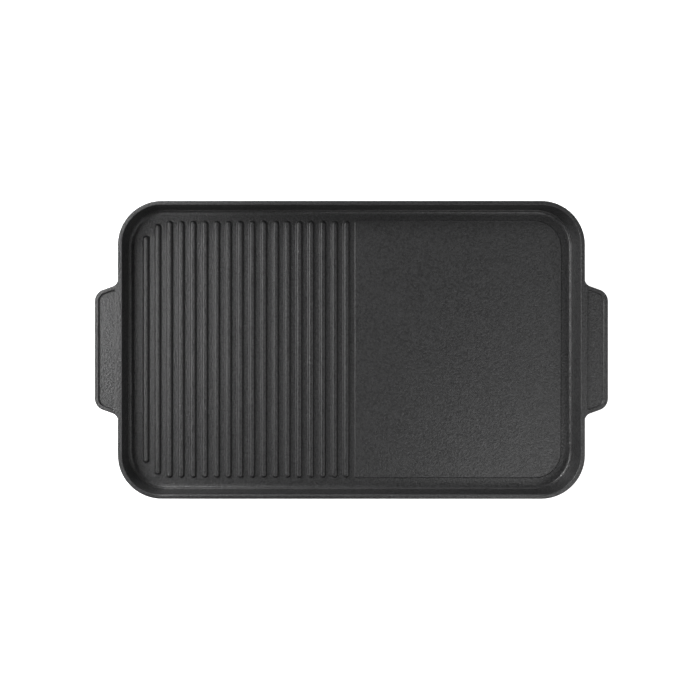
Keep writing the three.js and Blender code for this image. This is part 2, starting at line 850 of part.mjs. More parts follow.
function addCoverScrews() {
  const flipped = new THREE.Euler(Math.PI, 0, 0);
  const solid = screwSolid(coverThickness + coverBossHeight * 0.6);
  let number = 1;
  for (const sideX of [-1, 1]) {
    for (const sideY of [-1, 1]) {
      const at = [sideX * coverScrewX, sideY * coverScrewY, coverBottomZ - gap];
      addPart(`cover_screw_${number}`, solid, nickel(), at, flipped);
      number += 1;
    }
  }
}

function addPanScrews() {
  const solid = screwSolid(sheet + gap + panBossHeight - 2);
  let number = 1;
  for (const sideX of [-1, 1]) {
    for (const sideY of [-1, 1]) {
      const at = [sideX * panScrewX, sideY * panScrewY, panTopZ + gap];
      addPart(`pan_screw_${number}`, solid, nickel(), at);
      number += 1;
    }
  }
}

// ---------------------------------------------------------------- pads under the plate

function addPlatePads() {
  const places = [['front_left', -1, -1], ['front_right', 1, -1], ['back_left', -1, 1], ['back_right', 1, 1]];
  const pad = prism(stadium(padLength / 2, padWidth / 2, 5), 0, padHeight).rotate([0, 0, 90]);
  const peg = rod(padPegRadius, -shelfThickness - gap, 1, 10);
  for (const [place, sideX, sideY] of places) {
    const at = [sideX * padX, sideY * padY, shelfTopZ + gap];
    addPart(`plate_pad_${place}`, join(pad, peg), greySilicone(), at);
  }
}

// ---------------------------------------------------------------- reflector pan

function addReflectorPan() {
  const flangeX = shelfHoleX + panFlange;
  const flangeY = shelfHoleY + panFlange;
  const flangeOutline = rectangle(flangeX, flangeY, shelfHoleCorner + panFlange);
  const flange = prism(flangeOutline, panHeight - sheet, panHeight);
  const outline = (inset) => rectangle(panX - inset, panY - inset, panCorner - inset);
  const tray = loft([[outline(panDraft), 0], [outline(0), panHeight - sheet / 2]]);
  const hollow = loft([[outline(panDraft + sheet), sheet], [outline(sheet), panHeight + 1]]);
  const holes = [];
  for (const side of [-1, 1]) {
    const leg = rod(elementRadius + legHoleClearance, -1, sheet + 1, 14);
    holes.push(moved(leg, side * legX, legY, 0));
    holes.push(moved(rod(screwHole, -1, sheet + 1, 10), side * rivetX, legY, 0));
    for (const sideY of [-1, 1]) {
      const screw = rod(screwHole, panHeight - sheet - 1, panHeight + 1, 10);
      holes.push(moved(screw, side * panScrewX, sideY * panScrewY, 0));
    }
  }
  holes.push(moved(rod(capillaryRadius + 2 * capillaryClearance, -1, sheet + 1, 12), 0, sensorY, 0));
  holes.push(moved(rod(screwHole, -1, sheet + 1, 10), earthX, earthY, 0));
  const pan = cut(join(flange, tray), hollow, ...holes);
  addPart('reflector_pan', pan, plainSteel(), [0, 0, panBottomZ]);
}

// ---------------------------------------------------------------- heating element

// One half of the tube's route, from the middle of the front run to the end of its leg.
function elementHalfRoute(side) {
  return [
    [side * elementX, -elementY, elementZ],
    [side * elementX, -elementRow, elementZ],
    [side * elementInnerX, -elementRow, elementZ],
    [side * elementInnerX, elementRow, elementZ],
    [side * elementX, elementRow, elementZ],
    [side * elementX, elementY, elementZ],
    [side * legX, elementY, elementZ],
    [side * legX, legY, elementZ],
    [side * legX, legY, legEndZ],
  ];
}

function addHeatingElement() {
  const route = [...elementHalfRoute(-1).reverse(), ...elementHalfRoute(1)];
  const loops = tube(route.slice(1, -1), elementRadius, elementBend, 8, 4);
  const legs = [-1, 1].map((side) => {
    const [turn, end] = elementHalfRoute(side).slice(-2);
    const start = [turn[0], turn[1] + 2 * legBend, turn[2]];
    return tube([start, turn, end], elementRadius, legBend, 8);
  });
  addPart('heating_element', join(loops, ...legs), darkSheath());
}

// Ceramic seal on the end of each leg, and the pin and blade that come out of it.
function addElementEnds() {
  const sealTop = legEndZ - gap;
  const seal = ring(terminalRadius + gap, sealRadius, -sealLength, 0, 16);
  const blade = block(tabWidth, tabThickness, tabLength, 0, 0, -sealLength - terminalLength);
  const pin = join(rod(terminalRadius, tabLength / 2 - sealLength - terminalLength - 1, -gap, 10), blade);
  for (const [side, sign] of [['left', -1], ['right', 1]]) {
    const at = [sign * legX, legY, sealTop];
    addPart(`element_seal_${side}`, seal, whiteCeramic(), at);
    addPart(`element_terminal_${side}`, pin, nickel(), at);
  }
}

// Plate that holds both legs to the floor of the pan, with a rivet at each end.
function addElementFlange() {
  const outline = rectangle(rivetX + flangeEnd, flangeHalfWidth, flangeCorner, 4);
  const plate = prism(outline, 0, flangeThickness);
  const holes = [];
  for (const side of [-1, 1]) {
    holes.push(moved(rod(elementRadius + gap, -1, flangeThickness + 1, 16), side * legX, 0, 0));
    holes.push(moved(rod(screwHole, -1, flangeThickness + 1, 10), side * rivetX, 0, 0));
  }
  addPart('element_flange', cut(plate, ...holes), plainSteel(), [0, legY, panInsideZ]);
  const low = -sheet - 2 * gap;
  const high = flangeThickness + gap;
  const rivet = turned([
    [0, low - rivetTailHeight],
    [screwHeadRadius, low - rivetTailHeight],
    [screwHeadRadius, low],
    [screwRadius, low],
    [screwRadius, high],
    [screwHeadRadius, high],
    [screwHeadRadius * 0.6, high + rivetTailHeight],
    [0, high + rivetTailHeight],
  ], 10);
  for (const [side, sign] of [['left', -1], ['right', 1]]) {
    addPart(`element_rivet_${side}`, rivet, nickel(), [sign * rivetX, legY, panInsideZ]);
  }
}

// Comb of folded sheet across the pan: the tube lies in its notches.
function addElementRacks() {
  const axis = elementZ - panInsideZ;
  const length = 2 * (elementY + rackPost);
  const foot = block(rackFoot, length, sheet, rackFoot / 2 - rackThickness / 2, 0, sheet / 2);
  const strip = block(rackThickness, length, axis / 2, 0, 0, axis / 4);
  const posts = [];
  const notches = [];
  for (const y of [-elementY, -elementRow, elementRow, elementY]) {
    const height = axis + rackHorn;
    posts.push(block(rackThickness, 2 * rackPost, height, 0, y, height / 2));
    const hole = elementRadius + gap;
    notches.push(moved(rod(hole, -rackFoot, rackFoot, 16).rotate([0, 90, 0]), 0, y, axis));
    notches.push(block(2 * rackFoot, 2 * hole, 4 * rackHorn, 0, y, axis + 2 * rackHorn));
  }
  const rack = cut(join(foot, strip, ...posts), ...notches);
  addPart('element_rack_left', rack.rotate([0, 0, 180]), plainSteel(), [-rackX, 0, panInsideZ]);
  addPart('element_rack_right', rack, plainSteel(), [rackX, 0, panInsideZ]);
}

// ---------------------------------------------------------------- thermostat and knob

// Place of each blade on the thermostat's back: x and height from its axis.
const mainTabs = [[-mainTabX, -mainTabDrop], [mainTabX, -mainTabDrop]];
const pilotTabs = [[pilotTabX, pilotTabRise], [pilotTabX + pilotTabPitch, pilotTabRise]];

function addThermostat() {
  const neckEnd = recessWall + panelThickness + nutThickness + 4 * gap + bushProud;
  const body = block(thermostatLength, thermostatDepth, thermostatHeight, 0, thermostatDepth / 2, 0);
  const neck = facingFront(rod(bushRadius, -1, neckEnd, 20));
  const bore = facingFront(rod(shaftRadius + runningGap, -shaftInside - 1, neckEnd + 1, 20));
  const blades = [...mainTabs, ...pilotTabs].map(([x, z]) => (
    block(tabThickness, tabLength + gap, tabWidth, x, thermostatDepth + (tabLength - gap) / 2, z)
  ));
  const thermostat = join(cut(join(body, neck), bore), ...blades);
  addPart('thermostat_body', thermostat, whiteCeramic(), [controlX, thermostatFrontY, controlZ]);
  const nut = cut(
    rod(nutAcross / 2, 0, nutThickness, 6),
    rod(bushRadius + gap, -1, nutThickness + 1, 20));
  addPart('thermostat_nut', nut, nickel(), [controlX, panelFaceY - gap, controlZ], alongMinusY);
}

function dSection(radius, flat) {
  const outline = circle(radius, 20);
  return outline.map(({ x, y }) => new THREE.Vector2(x, Math.max(y, flat - radius)));
}

function addShaftAndKnob() {
  const shaftEnd = knobHollowDepth + shaftEngage;
  const shaftBack = knobRearY - thermostatFrontY - shaftInside;
  const shaft = rod(shaftRadius, shaftBack, shaftEnd - shaftEngage, 20);
  const tip = prism(dSection(shaftRadius, shaftFlat), shaftEnd - shaftEngage - 1, shaftEnd);
  const at = [controlX, knobRearY, controlZ];
  addPart('thermostat_shaft', join(shaft, tip), plainSteel(), at, alongMinusY);

  const grip = Array.from({ length: 4 * knobFlutes }, (_, index) => {
    const angle = (2 * Math.PI * index) / (4 * knobFlutes);
    const reach = knobGripRadius - knobFluteDepth * (1 - Math.cos(knobFlutes * angle));
    return new THREE.Vector2(reach * Math.cos(angle), reach * Math.sin(angle));
  });
  const skirt = turned([
    [0, 0],
    [knobSkirtRadius, 0],
    [knobSkirtRadius, knobSkirtDepth * 0.6],
    [knobGripRadius, knobSkirtDepth],
    [0, knobSkirtDepth],
  ], 24);
  const pointer = block(pointerWidth, pointerLength, 2 * pointerHeight, 0, pointerMiddle, knobDepth);
  const solid = join(skirt, prism(grip, knobSkirtDepth - 1, knobDepth), pointer);
  const hollow = rod(knobHollowRadius, -1, knobHollowDepth, 24);
  const socket = prism(dSection(shaftRadius + gap, shaftFlat), knobHollowDepth - 1, shaftEnd + gap);
  addPart('control_knob', cut(solid, hollow, socket), blackPlastic(), at, alongMinusY);
}

// Thin printed panel on the floor of the control recess.
function addControlPanel() {
  const halfLength = controlRecessLength / 2 - panelMargin;
  const halfHeight = controlRecessHeight / 2 - panelMargin;
  const outline = rectangle(halfLength, halfHeight, controlRecessCorner - panelMargin, 4);
  const shaftHole = rod(bushRadius + gap, -1, panelThickness + 1, 20);
  const lensHole = moved(rod(lensRadius - lensRim + gap, -1, panelThickness + 1, 16), pilotX, 0, 0);
  const panel = cut(prism(outline, 0, panelThickness), shaftHole, lensHole);
  addPart('control_panel', panel, material(0x33353a, 0.5, 0.2), [controlX, controlFaceY - gap, controlZ],
    alongMinusY);
}

function addPilotLight() {
  const stem = lensRadius - lensRim;
  const depth = panelThickness + recessWall + 2 * gap;
  const lens = turned([
    [0, -depth],
    [stem, -depth],
    [stem, 0],
    [lensRadius, 0],
    [lensRadius, lensEdge],
    [lensRadius * 0.75, lensHeight - gap],
    [0, lensHeight],
  ], 20);
  addPart('pilot_lens', lens, material(0xb3201a, 0.2, 0), [controlX + pilotX, knobRearY, controlZ],
    alongMinusY);
  const lamp = turned([
    [0, 0],
    [lampRadius, 0],
    [lampRadius, lampLength - lampTipLength],
    [lampTipRadius, lampLength],
    [0, lampLength],
  ], 12);
  addPart('pilot_lamp', lamp, material(0xe0a070, 0.1, 0), [controlX + pilotX, thermostatFrontY, controlZ],
    alongY);
}

// ---------------------------------------------------------------- sensor under the plate

class HelixPath extends THREE.Curve {
  constructor(radius, height, turns) {
    super();
    Object.assign(this, { radius, height, turns });
  }

  getPoint(t, target = new THREE.Vector3()) {
    const angle = 2 * Math.PI * this.turns * t;
    return target.set(this.radius * Math.cos(angle), this.radius * Math.sin(angle), this.height * t);
  }
}

function addSensor() {
  const bore = cupRadius + runningGap;
  const outer = bore + holderWall;
  const holderBore = capillaryRadius + capillaryClearance;
  const holder = turned([
    [holderBore, 0],
    [outer + holderFlange, 0],
    [outer + holderFlange, holderWall],
    [outer, holderWall],
    [outer, holderHeight],
    [bore, holderHeight],
    [bore, holderWall],
    [holderBore, holderWall],
    [holderBore, 0],
  ], 24);
  addPart('sensor_holder', holder, plainSteel(), [0, sensorY, panInsideZ]);

  const cupTop = plateZ - gap;
  const cup = turned([
    [0, -cupWall],
    [cupRadius - cupWall, -cupWall],
    [cupRadius - cupWall, -cupHeight],
    [cupRadius, -cupHeight],
    [cupRadius, -cupBevel],
    [cupRadius - cupBevel, 0],
    [0, 0],
  ], 24);
  addPart('sensor_cup', cup, material(0xc3c5c6, 0.35, 1), [0, sensorY, cupTop]);

  const springLow = panInsideZ + holderWall + gap + springWire;
  const springHigh = cupTop - cupWall - gap - springWire;
  const helix = new HelixPath(springRadius, springHigh - springLow, springTurns);
  const options = { steps: springTurns * 10, extrudePath: helix, bevelEnabled: false };
  const wire = new THREE.ExtrudeGeometry(new THREE.Shape(circle(springWire, 5)), options);
  addPart('sensor_spring', solidOf(wire), plainSteel(), [0, sensorY, springLow]);

  const capillaryZ = controlZ + pilotTabs[0][1];
  const route = [
    [0, sensorY, panInsideZ + holderWall + capillaryRise],
    [0, sensorY, capillaryZ],
    [0, thermostatBackY + gap, capillaryZ],
  ];
  addPart('capillary_tube', tube(route, capillaryRadius, wireBend), material(0xb07045, 0.35, 1));
}

// ---------------------------------------------------------------- mains inlet

// Centres of the pins in the inlet's own frame: name, x and z.
const inletPins = [['live', pinSpacing, -pinRise], ['neutral', -pinSpacing, -pinRise], ['earth', 0, pinRise]];

function addInlet() {
  const bodyTop = inletFlangeThickness;
  const flange = prism(rectangle(inletFlangeLength / 2, inletFlangeHeight / 2, 5, 4), 0, bodyTop);
  const body = prism(rectangle(inletBodyLength / 2, inletBodyHeight / 2, 2, 3), -inletBodyDepth, 1);
  const mouthOutline = rectangle(inletMouthLength / 2, inletMouthHeight / 2, inletMouthCorner, 2);
  const mouth = prism(mouthOutline, bodyTop - inletMouthDepth, bodyTop + 1);
  const tools = [mouth];
  for (const [, x, z] of inletPins) {
    tools.push(block(pinThickness + 2 * gap, pinWidth + 2 * gap, 3 * inletBodyDepth, x, -z, 0));
  }
  for (const side of [-1, 1]) {
    tools.push(moved(rod(screwHole, -1, bodyTop + 1, 10), (side * inletScrewSpacing) / 2, 0, 0));
  }
  const at = [inletX, inletFaceY + gap, inletZ];
  addPart('mains_inlet', cut(join(flange, body), ...tools), blackPlastic(), at, alongY);

  const pin = block(pinThickness, pinLength, pinWidth, 0, -pinLength / 2, 0);
  for (const [name, x, z] of inletPins) {
    addPart(`inlet_pin_${name}`, pin, nickel(), [inletX + x, pinFrontY, inletZ + z]);
  }
  const screw = screwSolid(inletFlangeThickness + recessWall + inletScrewReach);
  for (const [side, sign] of [['left', -1], ['right', 1]]) {
    const place = [inletX + (sign * inletScrewSpacing) / 2, inletFrontY + gap, inletZ];
    addPart(`inlet_screw_${side}`, screw, nickel(), place, alongY);
  }
}

// ---------------------------------------------------------------- wiring under the pan

// Inline thermal cut-out in the live lead.
function addThermalFuse() {
  const half = fuseLength / 2;
  const body = turned([
    [0, -half],
    [fuseRadius * 0.6, -half],
    [fuseRadius, -half + 1.5],
    [fuseRadius, half - 1.5],
    [fuseRadius * 0.6, half],
    [0, half],
  ], 12);
  addPart('thermal_fuse', body, material(0xd8c8a0, 0.5, 0), [fuseX, fuseY, fuseZ], alongY);
}

function addMainWires() {
  const pinY = pinBackY - gap;
  const tabY = thermostatBackY + tabLength + gap;
  const [[leftTab, tabHeight], [rightTab]] = mainTabs;
  const tabZ = controlZ + tabHeight;
  const bladeZ = legEndZ - gap - sealLength - terminalLength;
  const bladeGap = tabThickness / 2 + gap;
  const pinZ = inletZ - pinRise;
  const turnY = tabY + thermostatTurn;
  const lugWireZ = lugZ - gap - wireRadius;
  const wires = {
    wire_live: [0x6a3a22, [
      [inletX + pinSpacing, pinY, pinZ],
      [inletX + pinSpacing, pinY - liveDrop, pinZ],
      [fuseX, pinY - liveDrop - liveSlope, fuseZ],
      [fuseX, fuseY + fuseLength / 2 + gap, fuseZ],
    ]],
    wire_fuse: [0x6a3a22, [
      [fuseX, fuseY - fuseLength / 2 - gap, fuseZ],
      [fuseX, turnY, fuseZ],
      [rightTab, turnY, tabZ],
      [rightTab, tabY, tabZ],
    ]],
    wire_switched: [0x8d8d88, [
      [leftTab, tabY, tabZ],
      [leftTab, turnY, tabZ],
      [-legX, turnY + switchedRise, bladeZ],
      [-legX, legY - bladeGap, bladeZ],
    ]],
    wire_neutral: [0x2b4f86, [
      [inletX - pinSpacing, pinY, pinZ],
      [inletX - pinSpacing, pinY - neutralDrop, pinZ],
      [legX, pinY - neutralDrop, bladeZ],
      [legX, legY + bladeGap, bladeZ],
    ]],
    wire_earth: [0x5f8a35, [
      [inletX, pinY, inletZ + pinRise],
      [inletX, earthY, inletZ + pinRise],
      [earthX + lugRadius + 2 * lugTail, earthY, lugWireZ],
      [earthX + lugRadius + 1, earthY, lugWireZ],
    ]],
  };
  for (const [name, [colour, route]] of Object.entries(wires)) {
    addPart(name, tube(route, wireRadius, wireBend, 8, 3), material(colour, 0.6, 0));
  }
}

function addPilotLeads() {
  const lampY = thermostatFrontY + lampLength + gap;
  const tabY = thermostatBackY + tabLength + gap;
  pilotTabs.forEach(([tabX, height], index) => {
    const startX = controlX + pilotX + (1 - 2 * index) * leadSpacing;
    const turnY = tabY + pilotTurn - index * pilotLeadPitch;
    const route = [
      [startX, lampY, controlZ],
      [startX, turnY, controlZ + height],
      [controlX + tabX, turnY, controlZ + height],
      [controlX + tabX, tabY, controlZ + height],
    ];
    addPart(`pilot_lead_${index + 1}`, tube(route, leadRadius, leadBend, 8, 3), material(0x8d8d88, 0.6, 0));
  });
}

// Ring lug under the pan, with the screw and nut that bond the pan to earth.
function addEarthBond() {
  const eye = rod(lugRadius, 0, lugThickness, 16);
  const reachX = lugRadius + lugTail;
  const tail = block(reachX, lugTailWidth, lugThickness, reachX / 2, 0, lugThickness / 2);
  const lug = cut(join(eye, tail), rod(screwHole, -1, lugThickness + 1, 10));
  addPart('earth_lug', lug, nickel(), [earthX, earthY, lugZ]);
  const flipped = new THREE.Euler(Math.PI, 0, 0);
  const reach = lugThickness + sheet + nutThickness + 4 * gap;
  addPart('earth_screw', screwSolid(reach), nickel(), [earthX, earthY, lugZ - gap], flipped);
  const nut = cut(rod(earthNutRadius, 0, nutThickness, 6), rod(screwHole, -1, nutThickness + 1, 10));
  addPart('earth_nut', nut, nickel(), [earthX, earthY, panInsideZ]);
}

// ---------------------------------------------------------------- assembly

group.name = 'electric_griddle';

addGriddlePlate();
addBaseHousing();
addBottomCover();
addFeet();
addCoverScrews();
addPanScrews();
addPlatePads();
addReflectorPan();
addHeatingElement();
addElementEnds();
addElementFlange();
addElementRacks();
addThermostat();
addShaftAndKnob();
addControlPanel();
addPilotLight();
addSensor();
addInlet();
addThermalFuse();
addMainWires();
addPilotLeads();
addEarthBond();

export default group;
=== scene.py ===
"""Looks of the electric griddle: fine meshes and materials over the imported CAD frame."""
import math

import bmesh
import bpy
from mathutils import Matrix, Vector


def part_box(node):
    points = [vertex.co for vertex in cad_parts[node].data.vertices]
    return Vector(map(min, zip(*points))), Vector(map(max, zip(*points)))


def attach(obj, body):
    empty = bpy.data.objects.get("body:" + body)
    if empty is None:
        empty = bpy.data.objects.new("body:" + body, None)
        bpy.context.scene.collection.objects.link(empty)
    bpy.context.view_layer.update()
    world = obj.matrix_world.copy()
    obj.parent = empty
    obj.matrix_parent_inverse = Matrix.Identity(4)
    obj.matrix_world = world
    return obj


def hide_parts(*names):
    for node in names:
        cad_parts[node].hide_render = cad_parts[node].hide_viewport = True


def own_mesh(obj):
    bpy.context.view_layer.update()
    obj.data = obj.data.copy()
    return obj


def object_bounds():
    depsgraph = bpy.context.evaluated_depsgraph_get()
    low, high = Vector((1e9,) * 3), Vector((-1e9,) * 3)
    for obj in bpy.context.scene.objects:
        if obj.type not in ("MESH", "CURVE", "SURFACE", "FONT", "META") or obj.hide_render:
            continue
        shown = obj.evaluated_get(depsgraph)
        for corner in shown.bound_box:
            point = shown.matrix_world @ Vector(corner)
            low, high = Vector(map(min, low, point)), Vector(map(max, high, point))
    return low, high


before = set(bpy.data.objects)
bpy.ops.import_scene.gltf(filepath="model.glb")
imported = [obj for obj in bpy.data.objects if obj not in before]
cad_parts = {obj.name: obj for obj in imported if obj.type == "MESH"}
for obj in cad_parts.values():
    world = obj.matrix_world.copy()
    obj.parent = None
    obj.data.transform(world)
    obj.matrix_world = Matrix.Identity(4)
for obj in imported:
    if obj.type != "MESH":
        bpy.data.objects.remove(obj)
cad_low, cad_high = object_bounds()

mm = 0.001

# --- sizes taken from the frame


def low(node):
    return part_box(node)[0]


def high(node):
    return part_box(node)[1]


def centre(node):
    return (low(node) + high(node)) / 2


def half(node):
    return (high(node) - low(node)) / 2


EAR_REACH = 23 * mm
PLATE_CORNER = 44 * mm
PLATE_DEPTH = 21 * mm
PLATE_FLOOR = 4 * mm
HALF_X = high("griddle_plate").x - EAR_REACH
HALF_Y = high("griddle_plate").y
RIM_Z = high("griddle_plate").z
FLOOR_Z = RIM_Z - PLATE_DEPTH
UNDER_Z = FLOOR_Z - PLATE_FLOOR
SKIRT_LOW_Z = low("griddle_plate").z

# --- outlines

ARC_STEPS = 20


def filleted(corners, steps=ARC_STEPS):
    """Closed anticlockwise outline through (x, y, radius) corners, rounded with arcs."""
    points = []
    for index, (x, y, radius) in enumerate(corners):
        corner = Vector((x, y))
        if radius <= 0:
            points.append(corner)
            continue
        back = (Vector(corners[index - 1][:2]) - corner).normalized()
        ahead = (Vector(corners[(index + 1) % len(corners)][:2]) - corner).normalized()
        half = back.angle(ahead) / 2
        centre = corner + (back + ahead).normalized() * (radius / math.sin(half))
        arm = corner + back * (radius / math.tan(half)) - centre
        turn = ahead.x * back.y - ahead.y * back.x
        sweep = math.copysign(math.pi - 2 * half, turn)
        for step in range(steps + 1):
            angle = sweep * step / steps
            c = math.cos(angle)
            s = math.sin(angle)
            points.append(centre + Vector((c * arm.x - s * arm.y, s * arm.x + c * arm.y)))
    return points


def rectangle(half_x, half_y, corner, steps=ARC_STEPS):
    quadrants = ((1, 1), (-1, 1), (-1, -1), (1, -1))
    return filleted([(a * half_x, b * half_y, corner) for a, b in quadrants], steps)


def stadium(half_length, radius, steps=12):
    """Slot outline along Y with two half-round ends."""
    points = []
    for side in (1, -1):
        for step in range(steps + 1):
            angle = math.pi * step / steps
            x = side * radius * math.cos(angle)
            y = side * (half_length - radius + radius * math.sin(angle))
            points.append(Vector((x, y)))
    return points


def circle(radius, steps=48):
    angles = [2 * math.pi / steps * step for step in range(steps)]
    return [Vector((radius * math.cos(a), radius * math.sin(a))) for a in angles]


def shrunk(points, distance):
    """The outline moved in by a distance, along each point's own normal."""
    moved = []
    for index, point in enumerate(points):
        last = points[index - 1]
        ahead = points[(index + 1) % len(points)]
        into = (point - last).normalized() if (point - last).length > 1e-9 else Vector((0, 0))
        out = (ahead - point).normalized() if (ahead - point).length > 1e-9 else Vector((0, 0))
        along = (into + out).normalized()
        inward = Vector((-along.y, along.x))
        bend = into.dot(out) if into.length and out.length else 1.0
        moved.append(point + inward * (distance / max(math.sqrt((1 + bend) / 2), 0.5)))
    return moved


def parts(start, end, steps):
    """Values from start to end in equal steps."""
    return [start + (end - start) * step / steps for step in range(steps + 1)]


def quarter(steps):
    return parts(0, math.pi / 2, steps)


def arc(across, up, radius, start, end, steps=5):
    """(across, up) pairs of an arc round a centre, from one angle to another, in degrees."""
    angles = [math.radians(degrees) for degrees in parts(start, end, steps)]
    return [(across + radius * math.cos(a), up + radius * math.sin(a)) for a in angles]


def inset_arc(inset, up, radius, start, end, steps=5):
    """The same as (inset, up) pairs: an inset falls as the arc goes out."""
    return [(inset - across, z) for across, z in arc(0, up, radius, start, end, steps)]


# --- mesh builders


def new_object(name, vertices, faces):
    mesh = bpy.data.meshes.new(name)
    mesh.from_pydata([tuple(v) for v in vertices], [], faces)
    mesh.validate()
    piece = bpy.data.objects.new(name, mesh)
    bpy.context.scene.collection.objects.link(piece)
    return piece


def loft(name, rings, closed=False):
    """Solid through rings of equal point counts. Closed joins the last ring to the first."""
    count = len(rings[0])
    vertices = [point for ring in rings for point in ring]
    faces = []
    levels = len(rings) if closed else len(rings) - 1
    for level in range(levels):
        above = (level + 1) % len(rings)
        for side in range(count):
            ahead = (side + 1) % count
            here = level * count
            there = above * count
            faces.append((here + side, here + ahead, there + ahead, there + side))
    if not closed:
        top = (len(rings) - 1) * count
        faces.append(tuple(reversed(range(count))))
        faces.append(tuple(range(top, top + count)))
    return new_object(name, vertices, faces)


def flat_ring(outline, z):
    return [Vector((p.x, p.y, z)) for p in outline]


def stacked(name, outline, pairs):
    """Upright solid through one outline, shrunk by each pair's inset at its height."""
    return loft(name, [flat_ring(shrunk(outline, inset), z) for inset, z in pairs])


def turned(name, profile, steps=48):
    """Solid of revolution about Z from (radius, z) pairs; a radius of 0 is a pole."""
    vertices = []
    rows = []
    for radius, z in profile:
        ring = flat_ring(circle(radius, steps), z) if radius > 1e-7 else [Vector((0, 0, z))]
        rows.append(range(len(vertices), len(vertices) + len(ring)))
        vertices.extend(ring)
    if len(rows[0]) > 1 and len(rows[-1]) > 1:
        rows.append(rows[0])
    faces = []
    for lower, upper in zip(rows, rows[1:]):
        for side in range(steps):
            corners = [row[index % len(row)] for row, index in (
                (lower, side), (lower, (side + 1) % steps), (upper, (side + 1) % steps), (upper, side)
            )]
            face = tuple(dict.fromkeys(corners))
            if len(face) > 2:
                faces.append(face)
    return new_object(name, vertices, faces)


def sweep(name, path, radius, sides=14):
    """Round tube along a list of points, with flat ends."""
    rings = []
    side_axis = None
    for index, point in enumerate(path):
        last = path[max(index - 1, 0)]
        ahead = path[min(index + 1, len(path) - 1)]
        tangent = (ahead - last).normalized()
        if side_axis is None:
            side_axis = tangent.orthogonal().normalized()
        side_axis = (side_axis - tangent * side_axis.dot(tangent)).normalized()
        up_axis = tangent.cross(side_axis)
        rings.append([point + side_axis * p.x + up_axis * p.y for p in circle(radius, sides)])
    return loft(name, rings)


def routed(corners, bend, steps=10):
    """Points of a path of straight runs with round bends."""
    points = [corners[0]]
    for last, corner, ahead_point in zip(corners, corners[1:], corners[2:]):
        back = (last - corner).normalized()
        ahead = (ahead_point - corner).normalized()
        half = back.angle(ahead) / 2
        centre = corner + (back + ahead).normalized() * (bend / math.sin(half))
        arm = corner + back * (bend / math.tan(half)) - centre
        axis = ahead.cross(back).normalized()
        for step in range(steps + 1):
            angle = (math.pi - 2 * half) * step / steps
            points.append(centre + arm * math.cos(angle) + axis.cross(arm) * math.sin(angle))
    points.append(corners[-1])
    return points


def outward(piece):
    """Makes every face of a closed mesh point out."""
    mesh = bmesh.new()
    mesh.from_mesh(piece.data)
    bmesh.ops.recalc_face_normals(mesh, faces=mesh.faces)
    mesh.to_mesh(piece.data)
    mesh.free()
    return piece


def combined(piece, operation, tool):
    """Joins the tool to the piece or cuts it away, and removes the tool."""
    outward(piece)
    outward(tool)
    modifier = piece.modifiers.new("boolean", "BOOLEAN")
    modifier.operation = operation
    modifier.solver = "EXACT"
    modifier.object = tool
    graph = bpy.context.evaluated_depsgraph_get()
    result = bpy.data.meshes.new_from_object(piece.evaluated_get(graph))
    piece.modifiers.clear()
    old = piece.data
    piece.data = result
    bpy.data.meshes.remove(old)
    bpy.data.objects.remove(tool, do_unlink=True)
    return piece


def joined(piece, *tools):
    for tool in tools:
        combined(piece, "UNION", tool)
    return piece


def cut(piece, *tools):
    for tool in tools:
        combined(piece, "DIFFERENCE", tool)
    return piece


def gathered(pieces):
    """Several separate closed meshes as one object."""
    first = pieces[0]
    mesh = bmesh.new()
    for piece in pieces:
        mesh.from_mesh(piece.data)
    mesh.to_mesh(first.data)
    mesh.free()
    for piece in pieces[1:]:
        bpy.data.objects.remove(piece, do_unlink=True)
    return first


def shifted(piece, x=0.0, y=0.0, z=0.0):
    for vertex in piece.data.vertices:
        vertex.co += Vector((x, y, z))
    return piece


def remapped(piece, rule):
    """Moves every vertex by a rule that takes and gives a vector."""
    for vertex in piece.data.vertices:
        vertex.co = rule(vertex.co.copy())
    return piece


def to_front(v):
    """Local +Z becomes -Y: a piece built upright faces the front."""
    return Vector((v.x, -v.z, v.y))


def to_back(v):
    return Vector((-v.x, v.z, v.y))


def finished(piece, body, slot, material, *nodes, sharp=32.0):
    """Smooth shading up to an angle, its material, its body and the CAD nodes it stands for."""
    outward(piece)
    mesh = piece.data
    mesh.materials.clear()
    mesh.materials.append(material)
    for polygon in mesh.polygons:
        polygon.use_smooth = True
        polygon.material_index = 0
    mesh.set_sharp_from_angle(angle=math.radians(sharp))
    weighted = piece.modifiers.new("weighted normals", "WEIGHTED_NORMAL")
    weighted.keep_sharp = True
    weighted.weight = 80
    if nodes:
        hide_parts(*nodes)
    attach(piece, body)
    return piece


# --- materials


